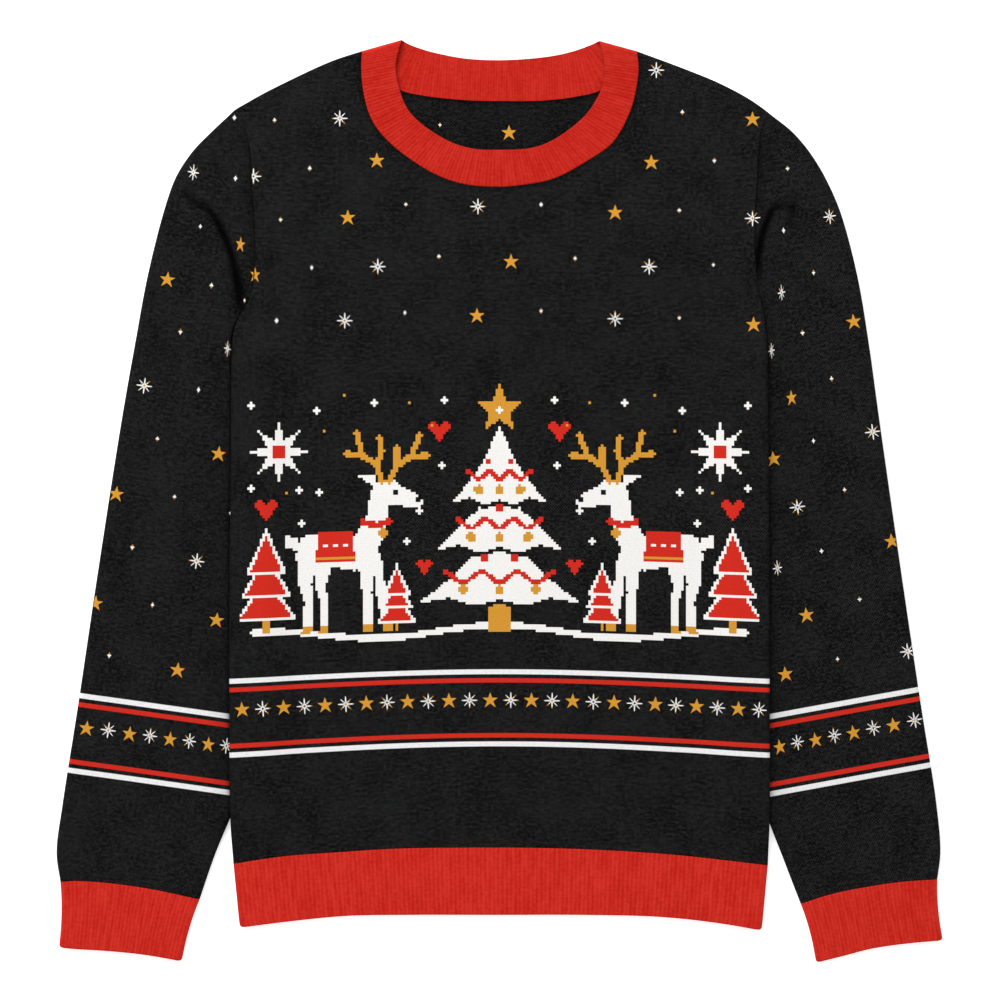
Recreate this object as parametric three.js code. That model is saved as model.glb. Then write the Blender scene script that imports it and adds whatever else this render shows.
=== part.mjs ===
// A crew-neck knitted sweater laid flat on its back, with its sleeves beside the body and the
// body's edges lying over the sleeves' inner edges. Millimetres, +Y towards the collar, +Z up.
import * as THREE from "three";

// Walls and seams.
const knitWall = 2.2;
const ribWall = 2.4;
const ribRise = 0.6;
const seamGap = 0.35;
const frontNeckGap = 0.7;
const backNeckGap = 1.1;

// Heights of the top layer's outer face above the surface that the sweater lies on.
const bodyMiddleHeight = 5.6;
const hemMiddleHeight = 5.7;
const foldHeight = 7.7;
const sleeveMiddleHeight = 5.6;
const sleeveCapHeight = 7.2;
const tuckedEdgeHeight = 6.0;
const cuffMiddleHeight = 6.2;
const collarMiddleHeight = 5.8;
const collarFoldHeight = 9.0;

// How far in from a folded edge the top layer takes to come down.
const bodyFallWidth = 60;
const sleeveFallWidth = 45;
const collarFallWidth = 90;

// The body's edges ride over the tucked sleeve edges.
const rideHeight = 6.4;
const rideFullX = 200;
const rideStartX = 164;
const rideTop = 151;
const rideTopFull = 116;
const rideBottomFull = -262;
const rideBottom = -303;

// Soft waves over the front.
const waveHeight = 0.5;
const waveLengthX = 96;
const waveLengthY = 210;

// Rib counts, one rib for each raised column of knit stitches.
const hemRibs = 121;
const cuffRibs = 33;
const collarFrontRibs = 119;
const collarBackRibs = 74;
const ribFade = 0.03;

// Creases on the sleeve caps.
const creaseDepth = 3.0;
const creaseHalfWidth = 8;
const creaseSamples = 24;

// How far the cuffs' sides are drawn in half-way down.
const cuffPinch = 1.6;

function steps(count) {
  return Array.from({ length: count + 1 }, (unused, i) => i / count);
}

// Nets: how many columns and rows of points each wall has.
const bodyColumns = 19;
const sleeveColumns = 12;
const sleeveUnderColumns = 5;
const sleeveInnerColumns = 6;
const hemInnerColumns = 16;
const ribInnerColumns = 5;
const collarColumns = 20;
const movedSteps = 24;

// Where a body edge passes the underarm and the shoulder point, and a sleeve the underarm.
const underarmPlace = 0.6;
const shoulderPlace = 0.84;
const seamFade = 0.018;
const sleeveUnderarmPlace = 0.25;
const sleeveTuckedPlace = 0.32;
const bowStartPlace = 0.7;

// Rows, as shares of the way up a body panel and down a sleeve. Both have the same rows along the
// armhole and just below the underarm, so that their edges stay side by side.
const armholeSteps = 9;
const armholeShares = steps(armholeSteps);
const belowUnderarm = [8, 16, 28, 42];
const bodyPace = 0.00129;
const sleevePace = 0.001485;
const bodyRows = [
  ...[0.0008, 0.03, 0.07, 0.14, 0.24, 0.34, 0.44, 0.5],
  ...belowUnderarm.map((distance) => underarmPlace - distance * bodyPace).reverse(),
  ...armholeShares.map((share) => underarmPlace + (shoulderPlace - underarmPlace) * share),
  ...[0.858, 0.9, 0.94, 0.97, 1],
];
const sleeveRows = [
  0.004,
  ...armholeShares.slice(1).map((share) => sleeveUnderarmPlace * share),
  ...belowUnderarm.map((distance) => sleeveUnderarmPlace + distance * sleevePace),
  ...[0.36, 0.43, 0.52, 0.61, 0.7, 0.79, 0.86, 0.92, 0.96, 1],
];
const ribRows = [0, 0.5, 1];
const collarRows = [0, 0.5, 1];

// Angles in degrees round the rolled edges, and round half of a tube's fold.
const rollAngles = [90, 60, 30, 0];
const tubeAngles = [90, 45];
const halfFoldColumns = tubeAngles.length;
const narrowShare = 0.45;
const wallShare = 0.8;

const black = 0x1c1c1c;
const red = 0xc92b20;
const knitRoughness = 0.92;

// Rows of numbers with named columns.
function table(names, rows) {
  const columns = names.split(" ");
  return rows.map((row) => Object.fromEntries(columns.map((name, i) => [name, row[i]])));
}

const sideSeams = table("leftX leftY rightX rightY", [
  [-223.3, -304.0, 225.2, -305.3],
  [-225.5, -269.6, 226.4, -266.3],
  [-226.4, -167.2, 226.4, -167.2],
  [-225.9, -40.0, 226.2, -40.0],
  [-224.7, 70.6, 225.3, 70.6],
  [-224.5, 118.0, 224.7, 130.0],
  [-222.4, 144.5, 222.9, 151.0],
  [-216.9, 157.7, 216.3, 181.4],
]);

const armholes = table("leftX leftY rightX rightY", [
  [-216.9, 157.7, 216.3, 181.4],
  [-209.0, 171.1, 214.6, 200.0],
  [-205.0, 200.2, 213.7, 225.0],
  [-205.6, 236.0, 214.6, 250.0],
  [-207.5, 262.9, 216.1, 269.6],
  [-209.0, 294.3, 217.7, 296.5],
  [-214.6, 314.4, 220.0, 312.0],
  [-222.4, 327.9, 224.4, 324.5],
]);

const shoulders = table("leftX leftY rightX rightY", [
  [-222.4, 327.9, 224.4, 324.5],
  [-205.0, 338.2, 210.4, 336.8],
  [-183.5, 349.4, 185.2, 350.3],
  [-140.7, 369.2, 152.5, 363.7],
  [-115.2, 377.6, 115.1, 377.5],
]);

// The collar's front half, from its left fold round to its right fold.
const frontNeck = table("seamX seamY freeX freeY", [
  [-115.2, 377.6, -82.1, 386.9],
  [-116.0, 362.9, -86.9, 366.0],
  [-113.4, 338.9, -84.5, 348.0],
  [-106.5, 318.4, -77.4, 329.6],
  [-91.1, 299.5, -65.4, 316.6],
  [-56.9, 275.5, -42.0, 301.8],
  [-31.2, 266.0, -22.5, 295.7],
  [0.0, 263.4, 0.0, 294.7],
  [30.0, 266.6, 25.5, 296.0],
  [47.7, 271.2, 41.0, 301.0],
  [71.7, 284.0, 60.0, 313.0],
  [94.0, 299.5, 74.0, 326.0],
  [106.0, 318.4, 82.0, 338.5],
  [112.9, 337.0, 87.2, 350.5],
  [116.7, 362.9, 88.0, 366.0],
  [115.1, 377.5, 83.7, 386.1],
]);

// The collar's back half, seen from its inside, from left fold to right fold.
const backNeck = table("seamX seamY freeX freeY", [
  [-115.2, 377.6, -82.1, 386.9],
  [-104.0, 358.5, -76.0, 383.4],
  [-83.1, 344.9, -64.0, 379.0],
  [-65.4, 340.6, -51.7, 375.7],
  [-31.2, 336.7, -27.7, 371.4],
  [0.0, 335.8, 0.0, 370.1],
  [37.4, 336.3, 31.0, 371.9],
  [63.2, 339.3, 51.2, 374.9],
  [85.4, 344.9, 65.5, 378.7],
  [105.0, 358.5, 77.0, 383.0],
  [115.1, 377.5, 83.7, 386.1],
]);

const hemStations = table("seamX seamY edgeX edgeY", [
  [-223.3, -304.0, -218.0, -357.9],
  [-183.0, -298.1, -179.0, -353.0],
  [-131.5, -294.2, -129.0, -348.2],
  [-80.2, -291.3, -79.0, -347.3],
  [0.0, -290.6, 0.0, -347.3],
  [69.0, -292.0, 68.0, -347.3],
  [137.6, -295.9, 135.0, -349.0],
  [189.0, -301.1, 185.5, -354.4],
  [225.2, -305.3, 220.1, -360.3],
]);

// Each sleeve's two long edges from the shoulder point, and from the underarm, to the cuff.
const leftSleeveOuter = table("x y", [
  [-222.9, 328.2],
  [-241.5, 310.0],
  [-254.9, 296.5],
  [-265.0, 283.1],
  [-272.6, 269.6],
  [-281.8, 242.8],
  [-295.3, 189.0],
  [-305.3, 135.2],
  [-317.1, 68.0],
  [-338.1, -66.4],
  [-354.1, -173.9],
  [-366.7, -254.5],
  [-371.7, -294.8],
  [-368.5, -319.5],
]);

const leftSleeveInner = table("x y", [
  [-217.4, 157.9],
  [-222.9, 144.6],
  [-225.0, 118.0],
  [-221.3, 92.0],
  [-212.9, 17.6],
  [-207.9, -49.6],
  [-204.6, -134.0],
  [-207.9, -200.8],
  [-215.5, -238.6],
  [-239.0, -297.4],
  [-251.6, -334.0],
]);

const rightSleeveOuter = table("x y", [
  [224.9, 324.9],
  [244.9, 310.0],
  [257.5, 296.5],
  [266.7, 283.1],
  [274.3, 269.6],
  [286.0, 242.8],
  [300.3, 189.0],
  [309.5, 135.2],
  [318.8, 68.0],
  [338.1, -66.4],
  [354.1, -173.9],
  [366.7, -254.5],
  [370.0, -294.8],
  [367.4, -317.2],
]);

const rightSleeveInner = table("x y", [
  [216.8, 181.5],
  [223.4, 151.2],
  [225.3, 128.0],
  [221.3, 92.0],
  [212.9, 17.6],
  [207.9, -49.6],
  [204.6, -134.0],
  [207.9, -200.8],
  [215.5, -238.6],
  [239.8, -304.4],
  [252.7, -337.8],
]);

// Cuff stations across each sleeve's end, from its outer edge to its inner edge.
const leftCuffStations = table("seamX seamY edgeX edgeY", [
  [-368.5, -319.5, -369.8, -374.4],
  [-357.3, -318.6, -356.0, -375.8],
  [-329.9, -320.3, -331.0, -377.4],
  [-293.5, -325.4, -299.0, -380.6],
  [-251.6, -334.0, -266.6, -386.2],
]);

const rightCuffStations = table("seamX seamY edgeX edgeY", [
  [367.4, -317.2, 372.2, -368.4],
  [340.1, -319.0, 344.0, -371.0],
  [303.7, -324.5, 312.7, -375.5],
  [276.4, -330.3, 287.3, -382.0],
  [252.7, -337.8, 265.6, -387.4],
]);

const creases = [
  table("x y", [
    [-265.0, 258.7],
    [-245.7, 248.6],
    [-228.9, 220.0],
    [-221.8, 179.8],
    [-220.5, 162.0],
  ]),
  table("x y", [
    [239.0, 248.6],
    [224.7, 236.0],
    [218.5, 215.0],
    [217.0, 193.2],
  ]),
  table("x y", [
    [248.2, 253.7],
    [241.5, 231.8],
  ]),
];

function smooth(from, to, value) {
  return THREE.MathUtils.smoothstep(value, from, to);
}

function mix(from, to, share) {
  return from + (to - from) * share;
}

// Falls softly from 1 at the edge to 0 one width in.
function fall(distance, width) {
  return 1 - THREE.MathUtils.smoothstep(distance, 0, width);
}

function curveThrough(rows, xName = "x", yName = "y") {
  const points = rows.map((row) => new THREE.Vector3(row[xName], row[yName], 0));
  return new THREE.CatmullRomCurve3(points, false, "centripetal");
}

// Several curves in a row, each given its own share of the way from 0 to 1.
function chain(curves, stops) {
  return (place) => {
    let part = 0;
    while (part < curves.length - 1 && place > stops[part + 1]) part += 1;
    const share = (place - stops[part]) / (stops[part + 1] - stops[part]);
    return curves[part].getPointAt(THREE.MathUtils.clamp(share, 0, 1));
  };
}

// A patch with four curved sides: across runs from left to right, along from bottom to top.
function curvedPatch(bottom, top, left, right) {
  const corners = [bottom(0), bottom(1), top(0), top(1)];
  return (across, along) => {
    const point = bottom(across).multiplyScalar(1 - along);
    point.addScaledVector(top(across), along);
    point.addScaledVector(left(along), 1 - across);
    point.addScaledVector(right(along), across);
    point.addScaledVector(corners[0], -(1 - across) * (1 - along));
    point.addScaledVector(corners[1], -across * (1 - along));
    point.addScaledVector(corners[2], -(1 - across) * along);
    point.addScaledVector(corners[3], -across * along);
    return point;
  };
}

// Straight lines from one curve to another.
function straightPatch(first, last) {
  return (across, along) => first(along).lerp(last(along), across);
}

// How much the tucked sleeve edges lift the body above them.
function rideAt(x, y) {
  const across = smooth(rideStartX, rideFullX, Math.abs(x));
  const under = (1 - smooth(rideTopFull, rideTop, y)) * smooth(rideBottom, rideBottomFull, y);
  return rideHeight * across * under;
}

function waveAt(x, y) {
  const turn = 2 * Math.PI;
  return (waveHeight * (1 + Math.sin((turn * x) / waveLengthX + y / waveLengthY))) / 2;
}

const creaseLines = creases.map((rows) => curveThrough(rows).getPoints(creaseSamples));

function creaseAt(x, y) {
  let deepest = 0;
  for (const line of creaseLines) {
    line.forEach((point, i) => {
      const taper = Math.sin((Math.PI * (i + 2)) / (line.length + 3));
      const reach = Math.hypot(point.x - x, point.y - y) / creaseHalfWidth;
      deepest = Math.max(deepest, creaseDepth * taper * Math.exp(-reach * reach));
    });
  }
  return deepest;
}

// Raises every second column, less towards the two ends of the run.
function ribs(column, place) {
  const ends = smooth(0, ribFade, place) * smooth(0, ribFade, 1 - place);
  return column % 2 === 1 ? ribRise * ends : 0;
}

// Two nets of points with a wall between them. Their rows match, and the places of their columns
// say how far along the row each column lies, because their numbers of columns may differ.
function wallParts(outer, inner) {
  const positions = [];
  const add = (point) => positions.push(point.x, point.y, point.z) / 3 - 1;
  return {
    positions,
    index: [],
    outerRows: outer.points.map((row) => row.map(add)),
    innerRows: inner.points.map((row) => row.map(add)),
  };
}

function addQuad(index, a, b, c, d) {
  index.push(a, b, c, a, c, d);
}

function addNet(index, rows, flipped) {
  for (let row = 0; row + 1 < rows.length; row += 1) {
    for (let column = 0; column + 1 < rows[row].length; column += 1) {
      const [a, b] = [rows[row][column], rows[row][column + 1]];
      const [c, d] = [rows[row + 1][column + 1], rows[row + 1][column]];
      if (flipped) addQuad(index, a, d, c, b);
      else addQuad(index, a, b, c, d);
    }
  }
}

// Fills the rim between the outer and the inner net at one row.
function addRim(index, outerRow, innerRow, outerPlaces, innerPlaces, flipped) {
  let i = 0;
  let j = 0;
  while (i + 1 < outerRow.length || j + 1 < innerRow.length) {
    const outerNext = i + 1 < outerRow.length ? outerPlaces[i + 1] : Infinity;
    const innerNext = j + 1 < innerRow.length ? innerPlaces[j + 1] : Infinity;
    const corners =
      outerNext <= innerNext
        ? [outerRow[i + 1], outerRow[i], innerRow[j]]
        : [innerRow[j], innerRow[j + 1], outerRow[i]];
    if (outerNext <= innerNext) i += 1;
    else j += 1;
    index.push(...(flipped ? corners.reverse() : corners));
  }
}

// Fills the two long rims at the sides of the first rows.
function addSideRims(index, outerRows, innerRows) {
  for (let row = 0; row + 1 < outerRows.length; row += 1) {
    const [outerRow, outerNext] = [outerRows[row], outerRows[row + 1]];
    const [innerRow, innerNext] = [innerRows[row], innerRows[row + 1]];
    addQuad(index, outerRow[0], outerNext[0], innerNext[0], innerRow[0]);
    addQuad(index, outerNext.at(-1), outerRow.at(-1), innerRow.at(-1), innerNext.at(-1));
  }
}

// The faces point out of the wall whichever way round the nets run.
function geometryFrom(positions, index) {
  const geometry = new THREE.BufferGeometry();
  geometry.setAttribute("position", new THREE.Float32BufferAttribute(positions, 3));
  const [a, b, c] = [new THREE.Vector3(), new THREE.Vector3(), new THREE.Vector3()];
  let volume = 0;
  for (let i = 0; i < index.length; i += 3) {
    a.fromArray(positions, index[i] * 3);
    b.fromArray(positions, index[i + 1] * 3);
    c.fromArray(positions, index[i + 2] * 3);
    volume += a.dot(b.cross(c));
  }
  geometry.setIndex(volume < 0 ? index.toReversed() : index);
  geometry.computeVertexNormals();
  return geometry;
}

function panelGeometry(outer, inner) {
  const { positions, index, outerRows, innerRows } = wallParts(outer, inner);
  addNet(index, outerRows, false);
  addNet(index, innerRows, true);
  addRim(index, outerRows[0], innerRows[0], outer.places, inner.places, false);
  addRim(index, outerRows.at(-1), innerRows.at(-1), outer.places, inner.places, true);
  addSideRims(index, outerRows, innerRows);
  return geometryFrom(positions, index);
}

// A tube whose rows start and end in the middle of one fold. The rows before openRows stop at
// the armhole, so they leave out the half folds at their two ends.
function tubeGeometry(outer, inner, openRows) {
  const { positions, index, outerRows, innerRows } = wallParts(outer, inner);
  for (const row of [...outerRows, ...innerRows]) row[row.length - 1] = row[0];
  const trim = (row) => row.slice(halfFoldColumns, row.length - halfFoldColumns);
  const closedOuter = outerRows.slice(openRows);
  const closedInner = innerRows.slice(openRows);
  const openOuter = outerRows.slice(0, openRows + 1).map(trim);
  const openInner = innerRows.slice(0, openRows + 1).map(trim);
  addNet(index, closedOuter, false);
  addNet(index, closedInner, true);
  addRim(index, outerRows.at(-1), innerRows.at(-1), outer.places, inner.places, true);
  if (openRows === 0) {
    addRim(index, outerRows[0], innerRows[0], outer.places, inner.places, false);
    return geometryFrom(positions, index);
  }
  addNet(index, openOuter, false);
  addNet(index, openInner, true);
  addRim(index, openOuter[0], openInner[0], trim(outer.places), trim(inner.places), false);
  addSideRims(index, openOuter, openInner);
  for (const end of [[0, halfFoldColumns + 1], [-halfFoldColumns - 1]]) {
    const places = outer.places.slice(...end);
    const [outerEnd, innerEnd] = [closedOuter[0].slice(...end), closedInner[0].slice(...end)];
    addRim(index, outerEnd, innerEnd, places, places, false);
  }
  return geometryFrom(positions, index);
}

// One net of a panel whose side edges roll over to meet the other panel. Angles run round the
// roll from its edge. The inset is how far the net lies inside the panel's outer face.
function panelNet(panel, inset, middleColumns, rise = () => 0) {
  const radius = (foldHeight - seamGap) / 2;
  const inner = inset > 0;
  const roll = (angle) => {
    const reach = radius * (1 - Math.sin(angle));
    const innerReach = radius - (radius - inset) * Math.sin(angle);
    const drop = radius - (radius - inset) * Math.cos(angle);
    return { reach, innerReach, drop };
  };
  const angles = rollAngles.map((degrees) => THREE.MathUtils.degToRad(degrees));
  const middle = steps(middleColumns);
  const places = [
    ...angles.slice(0, -1).map((unused, i) => i / angles.length),
    ...middle.map((place) => 1 + place),
    ...angles.slice(0, -1).map((unused, i) => 2 + (i + 1) / angles.length),
  ];
  const points = panel.rows.map((along) => {
    const probe = 0.002;
    const leftPace = panel.patch(0, along).distanceTo(panel.patch(probe, along)) / probe;
    const rightPace = panel.patch(1, along).distanceTo(panel.patch(1 - probe, along)) / probe;
    const folded = panel.folded(along);
    const at = (across, drop, raised) => {
      const point = panel.patch(across, along);
      const edge = Math.min(across * leftPace, (1 - across) * rightPace);
      point.z = panel.height(point.x, point.y, edge - radius) - panel.side * (drop - raised);
      return point;
    };
    const rolled = angles.slice(0, -1).map((angle) => {
      const { reach, innerReach, drop } = roll(angle);
      return {
        reach: inner ? mix(reach, innerReach, folded) : reach,
        drop: mix(inset, drop, folded),
      };
    });
    const start = radius / leftPace;
    const end = 1 - radius / rightPace;
    return [
      ...rolled.map(({ reach, drop }) => at(reach / leftPace, drop, 0)),
      ...middle.map((place, i) => at(mix(start, end, place), inset, rise(i, place))),
      ...rolled.toReversed().map(({ reach, drop }) => at(1 - reach / rightPace, drop, 0)),
    ];
  });
  return { points, places };
}

// One net of a flattened tube. Its rows cross the tube from the outer edge to the inner edge.
function tubeNet(tube, inset, topColumns, bottomColumns, rise = () => 0) {
  const half = tubeAngles.map((degrees) => THREE.MathUtils.degToRad(degrees));
  const top = steps(topColumns);
  const bottom = steps(bottomColumns);
  const places = [
    ...half.map((unused, i) => i / half.length),
    ...top.map((place) => 1 + place),
    ...[...half, ...half.slice(0, -1)].map((unused, i) => 2 + (i + 1) / (2 * half.length)),
    ...bottom.map((place) => 3 + place),
    ...half.map((unused, i) => 4 + (i + 1) / half.length),
  ];
  const points = tube.rows.map((along, row) => {
    const width = tube.patch(0, along).distanceTo(tube.patch(1, along));
    const middleHeight = tube.middleHeight(along);
    const innerHeight = tube.innerHeight(along);
    const outerReach = Math.min(foldHeight / 2, narrowShare * width);
    const closed = row >= tube.openRows;
    const innerReach = closed ? Math.min(innerHeight / 2, narrowShare * width) : 0;
    const at = (fromOuter, z) => {
      const point = tube.patch(fromOuter / width, along);
      point.z = z;
      return point;
    };
    const heightAt = (fromOuter) => {
      const outerShare = fall(fromOuter - outerReach, sleeveFallWidth);
      const innerShare = fall(width - fromOuter - innerReach, sleeveFallWidth);
      return (
        middleHeight +
        (foldHeight - middleHeight) * outerShare +
        (innerHeight - middleHeight) * innerShare
      );
    };
    const round = (reach, height, angle) => {
      const wallAcross = Math.min(inset, wallShare * reach);
      const across = (reach - wallAcross) * Math.sin(angle);
      return { across, z: height / 2 + (height / 2 - inset) * Math.cos(angle) };
    };
    const innerEnd = (angle) => {
      const { across, z } = round(innerReach, innerHeight, angle);
      return at(width - innerReach + across, z);
    };
    const outerEnd = (angle) => {
      const { across, z } = round(outerReach, foldHeight, angle);
      return at(outerReach - across, z);
    };
    const face = (place, i) => {
      const fromOuter = mix(width - innerReach, outerReach, place);
      const point = at(fromOuter, 0);
      point.z = heightAt(fromOuter) - inset + rise(i, place) - tube.crease(point.x, point.y);
      return point;
    };
    return [
      ...half.map(innerEnd),
      ...top.map(face),
      ...half.toReversed().map(outerEnd),
      ...half.slice(1).map((angle) => outerEnd(Math.PI - angle)),
      ...bottom.map((place) => at(mix(outerReach, width - innerReach, place), inset)),
      ...half.toReversed().map((angle) => innerEnd(Math.PI - angle)),
    ];
  });
  return { points, places };
}

// One net of the collar, round from its left fold by the front and back again by the back.
function collarNet(inset, frontColumns, backColumns, frontRise, backRise) {
  const radius = collarFoldHeight / 2;
  const half = tubeAngles.map((degrees) => THREE.MathUtils.degToRad(degrees));
  const front = steps(frontColumns);
  const back = steps(backColumns);
  const places = [
    ...half.map((unused, i) => i / half.length),
    ...front.map((place) => 1 + place),
    ...[...half, ...half.slice(0, -1)].map((unused, i) => 2 + (i + 1) / (2 * half.length)),
    ...back.map((place) => 3 + place),
    ...half.map((unused, i) => 4 + (i + 1) / half.length),
  ];
  const points = collarRows.map((across) => {
    const at = (strip, fromLeft, z) => {
      const seam = strip.seam.getPointAt(fromLeft);
      const free = strip.free.getPointAt(fromLeft);
      const band = seam.distanceTo(free);
      const point = seam.lerp(free, mix(seamGap / band, 1, across));
      point.z = z;
      return point;
    };
    const lengthOf = (strip) => mix(strip.seam.getLength(), strip.free.getLength(), across);
    const frontLength = lengthOf(frontStrip);
    const backLength = lengthOf(backStrip);
    const rounded = (angle) => ({
      reach: radius - (radius - inset) * Math.sin(angle),
      z: radius + (radius - inset) * Math.cos(angle),
    });
    const frontFold = (angle, onRight) => {
      const { reach, z } = rounded(angle);
      const share = reach / frontLength;
      return at(frontStrip, onRight ? 1 - share : share, z);
    };
    const backFold = (angle, onRight) => {
      const { reach, z } = rounded(Math.PI - angle);
      const share = reach / backLength;
      return at(backStrip, onRight ? 1 - share : share, z);
    };
    const frontPoint = (place, i) => {
      const share = mix(radius / frontLength, 1 - radius / frontLength, place);
      const edge = Math.min(share, 1 - share) * frontLength - radius;
      const height = mix(collarMiddleHeight, collarFoldHeight, fall(edge, collarFallWidth));
      return at(frontStrip, share, height - inset + frontRise(i, place));
    };
    const backPoint = (place, i) => {
      const share = mix(1 - radius / backLength, radius / backLength, place);
      return at(backStrip, share, inset + backRise(i, place));
    };
    return [
      ...half.map((angle) => frontFold(angle, false)),
      ...front.map(frontPoint),
      ...half.toReversed().map((angle) => frontFold(angle, true)),
      ...half.slice(1).map((angle) => backFold(angle, true)),
      ...back.map(backPoint),
      ...half.toReversed().map((angle) => backFold(angle, false)),
    ];
  });
  return { points, places };
}

// A curve moved sideways, away from the sweater's middle.
function movedOut(curve, distance) {
  const points = steps(movedSteps).map((place) => {
    const point = curve.getPointAt(place);
    const tangent = curve.getTangentAt(place);
    const normal = new THREE.Vector3(tangent.y, -tangent.x, 0);
    if (normal.x * point.x < 0) normal.negate();
    return point.addScaledVector(normal, distance);
  });
  return new THREE.CatmullRomCurve3(points);
}

const frontStrip = {
  gap: frontNeckGap,
  seam: curveThrough(frontNeck, "seamX", "seamY"),
  free: curveThrough(frontNeck, "freeX", "freeY"),
};
const backStrip = {
  gap: backNeckGap,
  seam: curveThrough(backNeck, "seamX", "seamY"),
  free: curveThrough(backNeck, "freeX", "freeY"),
};
const hemSeam = curveThrough(hemStations, "seamX", "seamY");
const hemEdge = curveThrough(hemStations, "edgeX", "edgeY");

// One side of the body up its side seam, armhole and shoulder to where the neckline starts.
function bodySide(side, neckEnd) {
  const names = [side + "X", side + "Y"];
  const curves = [sideSeams, armholes, shoulders].map((rows) => curveThrough(rows, ...names));
  curves[2].points.at(-1).copy(neckEnd);
  curves[2].updateArcLengths();
  return chain(curves, [0, underarmPlace, shoulderPlace, 1]);
}

// How far a body edge is rolled: all along the side seam and the shoulder, not at the armhole.
function bodyFolded(along) {
  const side = 1 - smooth(underarmPlace - seamFade, underarmPlace, along);
  return side + smooth(shoulderPlace, shoulderPlace + seamFade, along);
}

function frontHeight(x, y, edge) {
  const fallen = mix(bodyMiddleHeight, foldHeight, fall(edge, bodyFallWidth));
  return fallen + waveAt(x, y) + rideAt(x, y);
}

function hemFrontHeight(x, y, edge) {
  return mix(hemMiddleHeight, foldHeight, fall(edge, bodyFallWidth)) + rideAt(x, y);
}

// The body ends just short of the collar, on the line of the collar's band.
function bodyPanel(neckStrip, side) {
  const neckline = (place) => {
    const seam = neckStrip.seam.getPointAt(place);
    const free = neckStrip.free.getPointAt(place);
    return seam.lerp(free, -neckStrip.gap / seam.distanceTo(free));
  };
  return {
    patch: curvedPatch(
      (place) => hemSeam.getPointAt(place),
      neckline,
      bodySide("left", neckline(0)),
      bodySide("right", neckline(1)),
    ),
    rows: bodyRows,
    side,
    folded: bodyFolded,
    height: side > 0 ? frontHeight : rideAt,
  };
}

function hemPanel(side) {
  const patch = (across, along) => {
    const seam = hemSeam.getPointAt(across);
    const edge = hemEdge.getPointAt(across);
    return seam.lerp(edge, mix(seamGap / seam.distanceTo(edge), 1, along));
  };
  return { patch, rows: ribRows, side, folded: () => 1, height: side > 0 ? hemFrontHeight : rideAt };
}

function sleeveTube(side, outerRows, innerRows, cuffStations) {
  const armhole = movedOut(curveThrough(armholes, side + "X", side + "Y"), seamGap);
  const innerEdge = curveThrough(innerRows);
  const underarm = armhole.getPointAt(0);
  innerEdge.points[0].copy(underarm);
  innerEdge.updateArcLengths();
  const armholeDown = { getPointAt: (place) => armhole.getPointAt(1 - place) };
  const straight = straightPatch(
    chain([curveThrough(outerRows)], [0, 1]),
    chain([armholeDown, innerEdge], [0, sleeveUnderarmPlace, 1]),
  );
  const cuffSeam = curveThrough(cuffStations, "seamX", "seamY");
  return {
    patch: (across, along) => {
      const bow = cuffSeam.getPointAt(across).sub(straight(across, 1));
      return straight(across, along).addScaledVector(bow, smooth(bowStartPlace, 1, along));
    },
    rows: sleeveRows,
    openRows: sleeveRows.indexOf(sleeveUnderarmPlace),
    middleHeight: (along) => mix(sleeveCapHeight, sleeveMiddleHeight, smooth(0.12, 0.45, along)),
    innerHeight: (along) => {
      const share = smooth(sleeveUnderarmPlace, sleeveTuckedPlace, along);
      return mix(foldHeight, tuckedEdgeHeight, share);
    },
    crease: creaseAt,
  };
}

function cuffTube(stations) {
  const seam = curveThrough(stations, "seamX", "seamY");
  const edge = curveThrough(stations, "edgeX", "edgeY");
  const patch = (across, along) => {
    const [outer, inner] = [seam.getPointAt(0), seam.getPointAt(1)];
    const inwards = inner.sub(outer).normalize();
    const start = seam.getPointAt(across);
    const end = edge.getPointAt(across);
    const share = mix(seamGap / start.distanceTo(end), 1, along);
    const pinch = cuffPinch * 4 * share * (1 - share) * (1 - 2 * across);
    return start.lerp(end, share).addScaledVector(inwards, pinch);
  };
  return {
    patch,
    rows: ribRows,
    openRows: 0,
    middleHeight: () => cuffMiddleHeight,
    innerHeight: () => tuckedEdgeHeight,
    crease: () => 0,
  };
}

function piece(name, color, geometry) {
  const material = new THREE.MeshStandardMaterial({ color, roughness: knitRoughness, metalness: 0 });
  const mesh = new THREE.Mesh(geometry, material);
  mesh.name = name;
  return mesh;
}

function knitPanel(name, neckStrip, side) {
  const panel = bodyPanel(neckStrip, side);
  return piece(
    name,
    black,
    panelGeometry(panelNet(panel, 0, bodyColumns), panelNet(panel, knitWall, bodyColumns)),
  );
}

function sleeve(name, side, outerRows, innerRows, cuffStations) {
  const tube = sleeveTube(side, outerRows, innerRows, cuffStations);
  const outer = tubeNet(tube, 0, sleeveColumns, sleeveUnderColumns);
  const inner = tubeNet(tube, knitWall, sleeveInnerColumns, sleeveInnerColumns);
  return piece(name, black, tubeGeometry(outer, inner, tube.openRows));
}

function cuff(name, stations) {
  const tube = cuffTube(stations);
  const outer = tubeNet(tube, 0, 2 * cuffRibs, ribInnerColumns, ribs);
  const inner = tubeNet(tube, ribWall, ribInnerColumns, ribInnerColumns);
  return piece(name, red, tubeGeometry(outer, inner, 0));
}

const plain = () => 0;
const hemFront = hemPanel(1);
const hemBack = hemPanel(-1);
const collarOuter = collarNet(0, 2 * collarFrontRibs, collarColumns, ribs, plain);
const collarInner = collarNet(ribWall, collarColumns, 2 * collarBackRibs, plain, ribs);

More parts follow.
